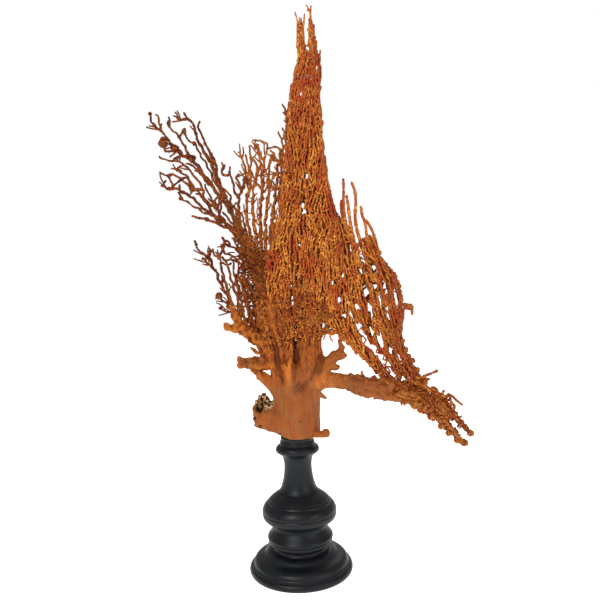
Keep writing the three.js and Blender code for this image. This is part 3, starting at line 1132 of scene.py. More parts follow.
# the upper left fan, open and dark
upperLeft = {
    "radius": 1.2,
    "main": [
        [
            (-30, 268), (-34, 282), (-38, 293), (-43, 305), (-47, 316), (-52, 325), (-60, 337),
            (-66, 344), (-71, 350), (-78, 361), (-86, 370), (-94, 375), (-101, 381), (-106, 389),
            (-112, 396), (-118, 403), (-121, 408), (-123, 414),
        ],
        [
            (-27, 272), (-33, 287), (-40, 300), (-47, 316), (-50, 328), (-55, 336), (-59, 345),
            (-61, 354), (-63, 364), (-66, 371), (-71, 380), (-75, 388), (-77, 395), (-79, 400),
            (-78, 404),
        ],
        [
            (-55, 336), (-61, 350), (-67, 366), (-75, 378), (-80, 388), (-82, 395), (-84, 403),
            (-89, 408), (-92, 413),
        ],
        [
            (-29, 276), (-36, 289), (-46, 304), (-55, 312), (-64, 318), (-74, 324), (-82, 332),
            (-91, 340), (-100, 344), (-108, 345), (-113, 349),
        ],
        [
            (-28, 265), (-34, 279), (-40, 290), (-46, 300), (-53, 307), (-62, 312), (-74, 316),
            (-82, 318), (-88, 320),
        ],
        [
            (-25, 272), (-31, 284), (-38, 296), (-42, 308), (-43, 320), (-43, 333), (-46, 341),
            (-48, 350), (-50, 357), (-50, 363),
        ],
    ],
    "twigs": [
        [
            (-57, 335), (-62, 345), (-68, 356), (-74, 368), (-80, 379), (-83, 385), (-88, 387),
            (-91, 393), (-92, 399),
        ],
        [(-86, 370), (-89, 376), (-93, 384), (-96, 390), (-101, 395), (-105, 400), (-108, 404)],
        [(-92, 398), (-94, 394), (-97, 391)],
        [(-104, 400), (-106, 403), (-105.5, 405)],
        [(-88, 408), (-93, 406), (-97, 408), (-100, 411)],
        [(-112, 396), (-116, 400), (-120, 404)],
        [(-113, 398), (-114, 403), (-114, 408), (-117, 412)],
        [(-101, 381), (-105, 384), (-109, 386)],
        [(-98, 378), (-104, 378), (-110, 378)],
        [(-66, 371), (-67, 376)],
        [
            (-71, 330), (-76, 337), (-79, 346), (-82, 353), (-87, 360), (-93, 366), (-101, 370),
            (-108, 371), (-115, 374),
        ],
        [(-95, 376), (-99, 372), (-102, 370)],
        [(-71, 351), (-76, 356), (-80, 361), (-86, 365), (-90, 367)],
        [(-66, 344), (-73, 350), (-78, 357), (-83, 361)],
        [(-79, 343), (-84, 344), (-88, 349), (-91, 356), (-98, 360), (-105, 363)],
        [(-91, 355), (-97, 354), (-103, 358), (-109, 357), (-114, 360)],
        [(-96, 360), (-99, 362), (-96, 365), (-91, 366)],
        [(-108, 357), (-105, 350), (-101, 344)],
        [(-110, 346), (-112, 350), (-111, 353)],
        [(-86, 342), (-92, 349), (-98, 352), (-103, 349), (-104, 344)],
        [(-93, 341), (-97, 343), (-97, 348)],
        [(-57, 314), (-66, 318), (-76, 322), (-84, 327), (-91, 332), (-97, 336), (-100, 341)],
        [(-69, 321), (-73, 329), (-78, 337), (-83, 342), (-88, 342)],
        [(-56, 313), (-60, 321), (-64, 329), (-69, 335), (-73, 342), (-74, 347)],
        [(-62, 326), (-69, 329), (-75, 332), (-79, 339), (-84, 340)],
        [(-55, 336), (-58, 331), (-60, 324), (-62, 318)],
        [(-60, 337), (-64, 333), (-66, 326)],
        [(-60, 312), (-65, 318), (-70, 322)],
        [(-50, 356), (-54, 355), (-57, 358), (-56, 366)],
        [(-43, 334), (-40, 341), (-42, 347), (-44, 352), (-42, 356)],
        [(-40, 340), (-37, 346), (-38, 352)],
        [(-43, 320), (-48, 326), (-50, 334), (-53, 341), (-58, 344)],
        [(-40, 300), (-47, 308), (-52, 316), (-57, 322)],
        [(-45, 299), (-46, 308), (-50, 318), (-49, 328)],
        [(-23, 262), (-30, 276), (-37, 286), (-44, 294), (-50, 303)],
        [(-22, 274), (-28, 286), (-35, 299), (-39, 311), (-41, 322)],
        [(-33, 276), (-40, 285), (-46, 291), (-50, 299)],
    ],
    "galls": [
        (-111, 386, 4.8), (-101, 381, 4.2), (-96, 377, 2.8), (-86, 371, 4.0), (-90, 373, 2.6),
        (-70, 349, 3.4), (-73, 353, 2.6), (-66, 370, 2.9), (-83, 385, 2.3), (-97, 336, 2.4),
        (-74, 316, 2.4), (-51, 323, 3.0), (-44, 321, 3.2), (-57, 335, 2.6), (-40, 296, 3.6),
        (-37, 290, 4.5), (-46, 310, 3.4), (-107, 345, 2.3), (-62, 318, 2.2), (-122, 413, 2.0),
        (-52, 309, 2.6), (-113, 348, 1.9),
    ],
    "sprouts": (60, (4, 12)),
}


# the rim of the hollow gall at the end of the fan
gallRim = {"across": -110.5, "up": 388.5, "wide": 2.8, "tall": 1.9, "arc": 6, "forward": 3.2, "radius": 1.2}


def upperLeftDepth(across, up):
    return 9 + 16 * blend(-across, 34, 120) + 2.2 * math.sin(up * 0.09 + across * 0.05)


def upperLeftEase(across, up):
    return across - 2.2 * blend(across, -78, -55), up - 0.9


def makeUpperLeft(material):
    strands = openFan(easedFan(upperLeft, upperLeftEase), upperLeftDepth, 11)
    rim = gallRim["across"], gallRim["up"]
    ring = [
        (rim[0] + gallRim["wide"] * math.cos(turned), rim[1] + gallRim["tall"] * math.sin(turned))
        for turned in np.linspace(0, gallRim["arc"], 12)
    ]

    def before(across, up):
        return upperLeftDepth(across, up) - gallRim["forward"]

    strands.append(dress(ring, before, gallRim["radius"], 77, bow=0))
    nodes = numbered("upper_left_branch", range(1, 10))
    makeFan("upperLeftFan", strands, material, nodes)


# the lower left fan, netted, coming forward
lowerLeft = {
    "radius": 1.0,
    "main": [
        [
            (-44, 212), (-48, 219), (-50, 230), (-54, 242), (-59, 253), (-64, 263), (-68, 272),
            (-71, 280), (-76, 285), (-80, 289), (-83, 293), (-84.5, 297),
        ],
        [
            (-42, 210), (-48, 222), (-53, 240), (-56, 252), (-59, 262), (-61, 272), (-63, 280),
            (-67, 285), (-68, 289),
        ],
        [(-40, 206), (-44, 216), (-46, 230), (-48, 245), (-51, 256), (-54, 266), (-56, 276), (-59, 281)],
        [(-36, 202), (-40, 212), (-42, 226), (-44, 240), (-46, 251), (-49, 262), (-50, 275), (-52, 281)],
        [(-28, 196), (-32, 208), (-35, 224), (-39, 240), (-43, 254), (-46, 266), (-45, 277)],
    ],
    "twigs": [
        [(-67, 270), (-71, 274), (-75, 278), (-77, 281)],
        [(-63, 281), (-64, 288)],
        [(-71, 280), (-72, 284), (-70, 287)],
        [(-59, 281), (-55, 279), (-50, 279), (-46, 277), (-42, 273), (-36, 270), (-28, 266), (-20, 263)],
        [(-59, 281), (-62, 283), (-60, 288), (-58, 292), (-61, 293)],
        [(-60, 291), (-58, 285), (-52, 283), (-46, 282), (-39, 280), (-32, 277), (-24, 273), (-17, 270)],
        [(-53, 276), (-57, 275), (-59, 278)],
        [(-60, 299), (-58, 296), (-56, 293), (-52, 291), (-47, 289), (-41, 287), (-33, 284), (-25, 279)],
        [(-53, 292), (-53, 295), (-55, 297)],
        [(-46, 296), (-42, 294), (-38, 292), (-31, 288)],
        [(-48, 288), (-44, 285), (-45, 281)],
        [(-20, 250), (-28, 256), (-35, 262), (-41, 266), (-46, 268)],
        [(-20, 256), (-28, 262), (-36, 268), (-40, 274), (-47, 278)],
        [(-22, 243), (-29, 248), (-36, 253), (-42, 259), (-45, 265)],
        [(-21, 262), (-29, 269), (-36, 274), (-42, 279)],
        [(-24, 236), (-31, 243), (-38, 247), (-44, 250), (-47, 254)],
        [(-38, 262), (-36, 256), (-34, 250), (-31, 245)],
        [(-42, 266), (-40, 258), (-38, 252), (-37, 246)],
        [(-32, 268), (-31, 262), (-29, 256), (-27, 250)],
        [(-47, 265), (-47, 258), (-44, 250), (-41, 243), (-40, 236)],
        [(-46, 238), (-42, 236), (-38, 239), (-36, 243)],
        [(-55, 238), (-59, 242), (-63, 246)],
        [(-53, 232), (-58, 233), (-62, 236)],
    ],
    "galls": [
        (-64, 247, 3.8), (-63, 236, 2.1), (-77, 281, 1.7), (-72, 281, 2.0), (-83, 294, 1.7),
        (-50, 229, 3.2), (-54, 242, 2.2), (-56, 250, 2.0), (-48, 221, 3.6), (-56, 237, 2.4),
        (-44, 232, 2.0),
    ],
    "sprouts": (120, (4, 14)),
}


def lowerLeftDepth(across, up):
    return -3 - 16 * blend(-across, 28, 88) + 1.6 * math.sin(up * 0.12)


def lowerLeftEase(across, up):
    return across - 1.7 * blend(up, 214, 232), up - 0.8


def makeLowerLeft(material):
    strands = openFan(easedFan(lowerLeft, lowerLeftEase), lowerLeftDepth, 311)
    nodes = numbered("lower_left_branch", range(1, 5))
    makeFan("lowerLeftFan", strands, material, nodes)


# the middle left fan, upright strands of both colours
middleLeft = {
    "radius": 1.1,
    "main": [
        [
            (-31, 262), (-33, 280), (-35, 300), (-37, 318), (-37, 333), (-34, 342), (-32, 352),
            (-34, 362), (-36, 373),
        ],
        [
            (-28, 262), (-29, 282), (-30, 302), (-31, 320), (-31, 336), (-29, 350), (-27, 362),
            (-31, 371), (-33, 380),
        ],
        [
            (-24, 262), (-25, 285), (-26, 305), (-25, 322), (-23, 338), (-23, 352), (-21, 365),
            (-18, 374), (-17, 382), (-22, 386), (-29, 386),
        ],
        [
            (-20, 262), (-21, 285), (-21, 308), (-19, 326), (-17, 342), (-16, 358), (-15, 366),
            (-10, 371), (-13, 376),
        ],
        [
            (-15, 262), (-16, 285), (-15, 305), (-13, 322), (-11, 338), (-9, 352), (-7, 366), (-6, 378),
            (-10, 380), (-17, 378),
        ],
        [(-10, 262), (-9, 285), (-8, 310), (-7, 332), (-5, 352), (-3, 372), (-4, 384), (-6, 392)],
    ],
    "outline": [
        (-36, 252), (-40, 285), (-41, 310), (-41, 330), (-40, 345), (-37, 358), (-30, 366), (-22, 368),
        (-12, 366), (-4, 372), (0, 390), (3, 380), (3, 330), (-2, 290), (-6, 240), (-24, 236),
    ],
    "gaps": [
        (-34, 330, 1.6, 9), (-27, 340, 1.4, 7), (-20, 332, 1.3, 8), (-28, 357, 1.8, 4), (-13, 360, 2, 4),
        (-34, 308, 1, 6), (-23, 312, 1, 6), (-18, 300, 0.9, 5), (-7, 356, 1.2, 5), (-14, 345, 1.2, 5),
    ],
    "twigs": [
        [(-36, 345), (-38, 360), (-40, 368), (-43, 375)],
        [(-29, 352), (-25, 362), (-26, 372), (-29, 379), (-27, 382)],
        [(-21, 366), (-25, 374), (-28, 381)],
        [(-24, 340), (-31, 350), (-33, 362), (-32, 370)],
        [(-32, 342), (-37, 350), (-37, 357)],
        [(-7, 366), (-12, 368), (-14, 372)],
        [(-5, 352), (-10, 355), (-15, 351)],
        [(-9, 340), (-14, 343), (-17, 347)],
        [(-4, 384), (-1, 390), (0, 399)],
        [(-2, 378), (0, 386), (-3, 395)],
        [(1, 384), (2, 396), (-1, 404)],
        [(2, 400), (0, 410), (-2, 417)],
        [(3, 404), (2, 412), (3, 419)],
    ],
    "galls": [
        (-37, 336, 2.6), (-30, 345, 2.4), (-35, 298, 2.6), (-23, 339, 2.2), (-17, 342, 2.0),
        (-9, 352, 1.8),
    ],
    "sprouts": (120, (4, 12)),
    "weave": {"spacing": 3.9, "seed": 31, "wander": (1.3, 1.3), "links": 70, "reach": 5},
}


def middleLeftDepth(across, up):
    return 3 + 10 * blend(up, 255, 385) + 3 * blend(-across, 0, 45)


def middleLeftEase(across, up):
    return across - 0.9, up - 0.8


def makeMiddleLeft(golden, rusty):
    main = [eased(line, middleLeftEase) for line in middleLeft["main"]]
    leaf = Leaf(middleLeft["outline"], main, middleLeft["gaps"])
    woven = middleLeft["weave"]
    patch = weave(leaf, woven["spacing"], woven["seed"], woven["wander"])
    size = middleLeft["radius"]
    strands = []
    for n, line in enumerate(patch.lines):
        strand = dress(line, middleLeftDepth, size * 0.85, n + 711, bow=2.2, rough=0.22, wobble=1.2)
        strands.append(strand)
    for n, line in enumerate(crossLinks(patch, woven["links"], woven["reach"], woven["seed"] + 2)):
        strands.append(dress(line, middleLeftDepth, size * 0.65, n + 971, step=0.8))
    makeFan("middleLeftFan", strands, golden, ["middle_left_branch_2"])
    strands = openFan({**middleLeft, "main": main}, middleLeftDepth, 511)
    makeFan("middleLeftTwigs", strands, rusty, numbered("middle_left_branch", (3, 4)))


gridSize = 400
gridStart = 100  # how far left of the axis the grid begins
bare = 99.0  # a depth behind everything, where there is no limb


def limbFronts():
    # the nearest depth of the limbs at each whole (across, up), from the balls they are strung on
    fronts = np.full((gridSize, gridSize), bare)
    for stations in [line for group in limbs.values() for line in group]:
        for across, up, depth, radius in smoothLine(stations, 1.5):
            for i in range(int(across - radius), int(across + radius) + 2):
                for j in range(int(up - radius), int(up + radius) + 2):
                    left = radius * radius - (i - across) ** 2 - (j - up) ** 2
                    if left > 0:
                        front = depth - math.sqrt(left)
                        fronts[i + gridStart, j] = min(fronts[i + gridStart, j], front)
    return fronts


limbFront = limbFronts()


def draped(depthAt):
    # the same depth, but in front of the limbs where they are nearer
    def over(across, up):
        column, row = int(round(across)) + gridStart, int(round(up))
        if 0 <= column < gridSize and 0 <= row < gridSize:
            return min(depthAt(across, up), limbFront[column, row] - 0.6)
        return depthAt(across, up)
    return over


def leafDepth(base, swing):
    # a leaf's depth narrows towards the spire's top, where the leaves meet
    def depthAt(across, up):
        closing = 1 - 0.75 * blend(up, 300, 480)
        wave = swing * math.sin(across * 0.11 + up * 0.035)
        return base * closing + wave + 1.3 * noise.noise(Vector((across / 7, up / 9, base)))
    return depthAt


def wovenLayer(leaf, depthAt, layer, radius, number):
    # one layer of a close fan: its strands, the links between them, and crooked twigs standing off it
    strands = []
    patch = weave(leaf, layer["spacing"], layer["seed"], layer["wander"])
    radius = radius * layer.get("thick", 1)
    sink = layer.get("sink", 0)
    step = layer.get("step", 1.3)
    for line in patch.lines:
        number += 1
        strand = dress(line, depthAt, radius, number, rough=0.24, tip=0.9, bow=1.2, sink=sink, step=step)
        strands.append(strand)
    for line in crossLinks(patch, layer["links"], 4, layer["seed"] + 7):
        number += 1
        strands.append(dress(line, depthAt, radius * 0.75, number, step=0.9, rough=0.22))
    for line in curls(patch, layer["curls"], (4, 10), layer["seed"] + 9, leaf.allows):
        number += 1
        lift = layer["off"] * (0.4 + 0.6 * random.Random(number).random())
        strands.append(dress(line, depthAt, radius * 0.72, number, rough=0.22, tip=0.85, lift=lift))
    return strands


def wovenHalves(fan, leaf, swing, number):
    # a close fan's four layers, two to the front half and two to the back. The first lies on the limbs
    halves = [[], []]
    for n, layer in enumerate(fan["layers"]):
        depthAt = leafDepth(layer["base"], swing)
        if n == 0:
            depthAt = draped(depthAt)
        halves[n // 2] += wovenLayer(leaf, depthAt, layer, fan["radius"], number + 3000 * n)
    return halves


def tangled(leaf, tangle):
    # crooked twigs all over a leaf
    patch = weave(leaf, tangle["spacing"], tangle["seed"], tangle["wander"])
    return curls(patch, tangle["curls"], tangle["lengths"], tangle["seed"] + 1, leaf.allows)


# columns over the left limb: grown into it lower down, and free twigs higher up
columns = {
    "outline": [
        (-10, 160), (-20, 172), (-27, 188), (-33, 202), (-39, 214), (-42, 232), (-43, 250), (-46, 272),
        (-48, 296), (-38, 300), (-30, 290), (-20, 282), (-12, 270), (-7, 250), (-3, 225), (-1, 200),
        (-2, 180), (-4, 168),
    ],
    "guides": [
        [(-9, 160), (-20, 182), (-28, 208), (-34, 235), (-40, 268), (-46, 296)],
        [(-8, 164), (-15, 192), (-20, 222), (-26, 250), (-34, 278), (-40, 298)],
        [(-5, 164), (-8, 195), (-12, 222), (-17, 250), (-24, 278)],
        [(-3, 170), (-4, 200), (-6, 225), (-9, 250), (-12, 270)],
    ],
    "gaps": [(-31, 206, 0.9, 1.6), (-36, 226, 1.0, 2.6), (-38, 240, 1.0, 2.0), (-33, 246, 0.8, 1.6)],
    "layer": {
        "spacing": 3.0, "seed": 82, "wander": (0.9, 0.9), "links": 80, "curls": 90, "off": -1.2,
        "sink": 2.5,
    },
    "free": [
        (-38, 216), (-34, 208), (-30, 210), (-27, 196), (-23, 206), (-19, 192), (-15, 203), (-11, 188),
        (-8, 200), (-5, 190), (-3, 204), (-4, 236), (-9, 250), (-13, 270), (-20, 282), (-30, 290),
        (-38, 300), (-48, 296), (-46, 272), (-43, 250), (-42, 232),
    ],
    "radius": 1.05,
    "fused": {"spacing": 3.3, "seed": 81, "wander": (0.6, 0.5), "radius": 1.45, "top": 250},
    "tangle": {
        "spacing": 4.2, "seed": 85, "wander": (0.8, 0.8), "curls": 230, "lengths": (5, 11), "radius": 0.8,
    },
}


def columnDepth(across, up):
    return 2 + 8 * blend(up, 235, 300) + 1.5 * noise.noise(Vector((across / 6, up / 9, 3)))


def fusedColumns():
    fused = columns["fused"]
    leaf = Leaf(columns["outline"], columns["guides"])
    depthAt = draped(columnDepth)
    strands = []
    for n, line in enumerate(weave(leaf, fused["spacing"], fused["seed"], fused["wander"]).lines):
        kept = [place for place in line if place[1] < fused["top"]]
        if len(kept) > 4:
            strand = dress(kept, depthAt, fused["radius"], 61000 + n, rough=0.3, sink=2, root=0.9, step=1.5)
            strands.append(strand)
    return strands


def makeColumns(material):
    leaf = Leaf(columns["free"], columns["guides"], columns["gaps"])
    over = draped(columnDepth)
    strands = wovenLayer(leaf, over, columns["layer"], columns["radius"], 60000)
    tangle = columns["tangle"]
    for n, line in enumerate(tangled(leaf, tangle)):
        strands.append(dress(line, over, tangle["radius"], 62000 + n, rough=0.22, tip=0.8, lift=-1))
    makeFan("limbColumns", strands, material, ["middle_left_branch_1"])


# the spire: close upright strands in four layers
spire = {
    "radius": 0.98,
    "outline": [
        (-25, 252), (-20, 240), (-15, 246), (-10, 232), (-6, 222), (-3, 209), (2, 203), (7, 206),
        (11, 199), (16, 203), (21, 203), (26, 208), (34, 216), (42, 238), (46, 262), (47, 290),
        (43.3, 312), (39.3, 330), (36.3, 346), (33.8, 362), (32.3, 380), (32.3, 400), (30.8, 420),
        (32.3, 440), (32.3, 461), (30, 463), (29, 478), (27, 490), (25, 496), (23, 480), (24, 465),
        (21, 463), (18.5, 472), (18, 484), (16, 492), (13, 490), (13, 480), (13, 463), (11.6, 450),
        (7.6, 438), (4.6, 424), (2.6, 402), (0.6, 385), (-2.4, 366), (-5.4, 345), (-8.4, 320), (-13, 300),
        (-19, 285), (-24, 268),
    ],
    "guides": [
        [(-16, 205), (-17, 240), (-12, 290), (-4, 345), (2, 400), (9, 445), (14, 490)],
        [(-4, 205), (-2, 250), (2, 300), (6, 350), (10, 400), (14, 450), (17, 490)],
        [(8, 205), (10, 250), (14, 300), (17, 350), (20, 400), (23, 450), (25, 500)],
        [(20, 205), (24, 250), (29, 300), (31, 350), (31, 400), (32, 450), (31, 462)],
        [(34, 215), (42, 250), (44, 290), (40, 325), (35, 360), (33, 400)],
    ],
    "gaps": [
        (17, 351, 0.8, 2.2), (12, 326, 0.7, 2), (13.5, 319, 0.7, 2), (0.5, 253, 0.8, 1.2),
        (0, 243, 0.7, 1.2), (0, 237, 0.6, 1.2), (2, 216, 1.1, 1.2), (7.6, 290, 0.7, 0.8),
        (3.3, 201, 1.2, 3), (1, 395, 0.5, 1.5), (4, 418, 0.6, 2.2), (-1, 356, 0.5, 2),
        (37, 254, 0.7, 2.2), (30, 249, 0.9, 3), (42, 239, 1.1, 1.4), (46, 261, 0.8, 2),
        (27, 216.5, 2.0, 2.0), (14, 425, 0.4, 1.2),
    ],
    "tips": [
        [(13, 462), (13.5, 478), (13.5, 490), (11.5, 499)],
        [(15, 466), (15.5, 480), (15.5, 494)],
        [(17.5, 466), (18, 480), (17, 493)],
        [(19, 468), (18.5, 482), (20, 497)],
        [(27, 462), (26.5, 478), (25.5, 492), (24.5, 500), (22, 505)],
        [(25, 464), (25.5, 480), (25.5, 494), (26, 504)],
        [(28.5, 462), (28, 478), (26.5, 490)],
        [(24, 478), (23, 481), (22, 484)],
        [(31, 450), (32.5, 457), (33, 464)],
        [(25, 500), (23.5, 501), (22.5, 500)],
    ],
    "layers": [
        {
            "base": -9, "spacing": 2.5, "seed": 51, "wander": (0.75, 0.8), "links": 260, "curls": 260,
            "off": -1.8, "sink": 1.5,
        },
        {
            "base": -5, "spacing": 2.6, "seed": 52, "wander": (0.7, 0.6), "links": 160, "curls": 20,
            "off": -1,
        },
        {
            "base": 0, "spacing": 3.3, "seed": 53, "wander": (0.5, 0.2), "links": 60, "curls": 0,
            "off": 2, "thick": 2.0, "step": 2.2,
        },
        {
            "base": 6, "spacing": 2.7, "seed": 54, "wander": (0.6, 0.6), "links": 160, "curls": 120,
            "off": 1.6,
        },
    ],
    "tangle": {
        "spacing": 4.0, "seed": 57, "wander": (0.8, 0.8), "curls": 1000, "lengths": (6, 13),
        "radius": 0.78, "top": 252,
    },
}


def lowDown(place, top):
    # whether a place is below the tangle's ragged upper edge, which is highest over the trunk
    across, up = place
    return up + 14 * noise.noise(Vector((across / 9, up / 9, 4))) < top - abs(across - 6)


def makeSpire(golden, rusty):
    leaf = Leaf(spire["outline"], spire["guides"], spire["gaps"])
    front, back = wovenHalves(spire, leaf, 1.8, 1000)
    low = draped(leafDepth(-10, 1.8))
    tangle = spire["tangle"]
    strands = []
    for n, line in enumerate(tangled(leaf, tangle)):
        if lowDown(line[0], tangle["top"]):
            strands.append(dress(line, low, tangle["radius"], 14000 + n, rough=0.22, tip=0.8, lift=-1.2))
    for n, line in enumerate(spire["tips"]):
        front.append(dress(line, leafDepth(-1, 0), spire["radius"], 900 + n, rough=0.24, tip=0.7, bow=0.5))
    makeFan("spireFront", front, golden, ["spire_branch_1"])
    makeFan("spireBack", back, golden, numbered("spire_branch", (3, 4)))
    makeFan("spireTangle", strands, rusty, ["spire_branch_2"])


# the right fan, a curtain of slanting strands
rightFan = {
    "radius": 1.0,
    "outline": [
        (34, 340), (40, 325), (45, 313), (49, 310), (56, 300), (60, 288), (65, 293), (72, 296), (77, 292),
        (79, 281), (83, 273), (90, 266), (95, 255), (98, 242), (98, 226), (97, 208), (99, 195),
        (105, 184), (111, 172), (116, 164), (122, 156), (112, 150), (100, 152), (91, 157), (82, 162),
        (73, 173), (65, 184), (55, 194.5), (46, 201.5), (41, 205), (36, 214), (28, 216), (27, 250),
        (30, 300),
    ],
    "guides": [
        [(40, 206), (37, 230), (34, 262), (33, 300), (34, 335)],
        [(62, 190), (52, 212), (46, 240), (42, 275), (38, 320)],
        [(88, 162), (74, 190), (62, 220), (54, 255), (48, 290), (46, 312)],
        [(96, 158), (86, 188), (76, 218), (68, 250), (60, 280), (54, 305)],
        [(108, 155), (98, 182), (92, 212), (88, 240), (78, 268), (68, 290)],
        [(116, 158), (104, 186), (98, 210), (98, 240), (88, 266), (77, 290)],
    ],
    "gaps": [
        (46, 261, 0.8, 2.8), (37, 254, 0.8, 3.6), (42, 239, 1.2, 2.2), (58, 232, 1, 2),
        (46, 225, 1.2, 1.7), (70, 229, 1, 6.3), (66.5, 245, 1.7, 8.4), (62.5, 264, 1, 2.8),
        (65, 273, 1.1, 12.6), (74.5, 266, 1, 4.9), (80.5, 237, 1.4, 6.3), (84, 249, 1, 5.6),
        (93, 241, 0.9, 9.8), (85, 225, 1, 5.6), (59, 215.5, 2, 1.5), (70, 211, 1.2, 5.6),
        (65, 201, 2.6, 7), (78, 200, 2, 5.6), (73, 193, 1.9, 5), (79, 185, 2.3, 5), (84.5, 177.5, 2.2, 5),
        (90.5, 170, 1.9, 4.2), (97, 165, 1.6, 2.8), (94, 182, 1.1, 6.3), (88, 205, 0.9, 7),
        (55, 286, 0.7, 4.2), (52, 226, 0.8, 2.2), (75, 250, 0.8, 3.5), (61, 208, 0.8, 2.8),
        (87, 192, 0.8, 3.5),
    ],
    "fingers": [
        [(58, 280), (54, 298), (51, 312), (50, 326), (50.5, 338), (50.5, 347)],
        [(60, 282), (57, 298), (55, 312), (54, 324), (53, 332)],
        [(66, 285), (62, 298), (60, 312), (61, 326), (60.5, 336), (58, 344)],
        [(79, 284), (76, 297), (72, 306), (67, 312), (65.5, 322)],
        [(74, 286), (70, 296), (69, 306), (67, 312)],
        [(56, 290), (51, 304), (48, 318), (48, 328)],
        [(49, 205), (55, 197), (60, 189), (63, 185)],
        [(46, 204), (52, 198), (57, 190)],
        [(96.8, 212), (99.3, 220), (100.3, 227), (103.8, 231), (107.8, 229), (108.3, 224)],
        [(99, 232), (102, 233), (106, 231)],
    ],
    "edge": [
        [
            (109.7, 158), (104.4, 169.6), (97.8, 184), (92.6, 195.4), (90.3, 209.6), (88.6, 223.8),
            (87.6, 235.2), (90.2, 246.4), (90.5, 257.7), (85.2, 266.4), (77, 275.1), (71.8, 288.1),
        ],
        [
            (118, 156), (108, 172), (101, 188), (94.3, 202.5), (96.4, 209), (95.4, 218), (97.6, 232),
            (97, 246), (94, 257), (87, 266), (80, 276), (78, 284),
        ],
        [(114, 156), (106, 172), (99.5, 186), (94, 200), (92, 212)],
        [(82.5, 164), (74, 174), (66, 183), (58, 193.5), (48.5, 201), (41, 206)],
        [(98, 156), (90, 174), (84, 192), (80, 212), (76, 232), (70, 252), (64, 272)],
        [(106, 154), (99, 170), (92, 188), (88, 204), (84, 224), (80, 244)],
    ],
    "fine": [
        [(41, 214), (36, 208), (30, 209), (27, 204)],
        [(34, 216), (31, 212), (35, 209), (38, 212)],
        [(30, 216), (26, 213), (24, 217), (26, 220)],
        [(36, 212), (33, 206), (35, 202)],
        [(72, 198), (76, 195), (74, 191), (78, 189)],
        [(77, 190), (81, 188), (80, 184), (84, 183)],
        [(83, 182), (82, 178), (86, 177), (88, 173)],
        [(88, 175), (92, 174), (93, 169), (96, 167)],
        [(80, 180), (84, 176), (86, 172)],
        [(90, 167), (94, 170), (99, 168)],
        [(62, 206), (65, 202), (63, 198), (67, 195)],
    ],
    "galls": [
        (105, 230.5, 3.4), (102, 232, 2.4), (96, 214, 2.8), (100, 192, 3.0), (106, 182, 2.8),
        (92, 256, 2.6), (97, 224, 2.4), (103, 186, 2.4), (110, 173, 2.8), (96, 240, 2.2), (86, 266, 2.4),
        (80, 280, 2.2), (114, 164, 2.6), (98, 200, 2.4),
    ],
    "layers": [
        {
            "base": -8, "spacing": 2.6, "seed": 61, "wander": (0.7, 0.8), "links": 170, "curls": 110,
            "off": -1.6, "sink": 1.5,
        },
        {
            "base": -4, "spacing": 2.9, "seed": 62, "wander": (0.7, 0.6), "links": 90, "curls": 10,
            "off": -1,
        },
        {
            "base": 1, "spacing": 3.8, "seed": 63, "wander": (0.45, 0.2), "links": 50, "curls": 0,
            "off": 2, "thick": 1.7, "step": 2.2,
        },
        {
            "base": 6, "spacing": 3.0, "seed": 64, "wander": (0.5, 0.4), "links": 120, "curls": 80,
            "off": 1.6,
        },
    ],
}


def fingerEase(across, up):
    return across - 0.8, up


def makeRight(golden, rusty):
    leaf = Leaf(rightFan["outline"], rightFan["guides"], rightFan["gaps"])
    size = rightFan["radius"]
    near, far = wovenHalves(rightFan, leaf, 2.0, 20000)
    front = leafDepth(-6, 1.5)
    for n, line in enumerate(rightFan["fingers"]):
        line = eased(line, fingerEase)
        near.append(dress(line, front, size * 1.55, 19000 + n, rough=0.25, tip=0.85, bow=0.5))
    edge = []
    for n, line in enumerate(rightFan["edge"]):
        strand = dress(line, front, size * 2.1, 19100 + n, rough=0.5, tip=0.75, bow=0.8, wobble=1.5)
        edge.append(strand)
    for n, line in enumerate(rightFan["fine"]):
        near.append(dress(line, front, size * 0.9, 19200 + n, tip=0.9, bow=1.5, step=0.8))
    for n, (across, up, radius) in enumerate(rightFan["galls"]):
        edge += gall(across, up, front(across, up), radius, 19300 + n)
    makeFan("rightFanFront", near, golden, numbered("right_branch", (1, 2)))
    makeFan("rightFanBack", far, golden, numbered("right_branch", (4, 5, 6)))
    makeFan("rightFanEdge", edge, rusty, ["right_branch_3"])


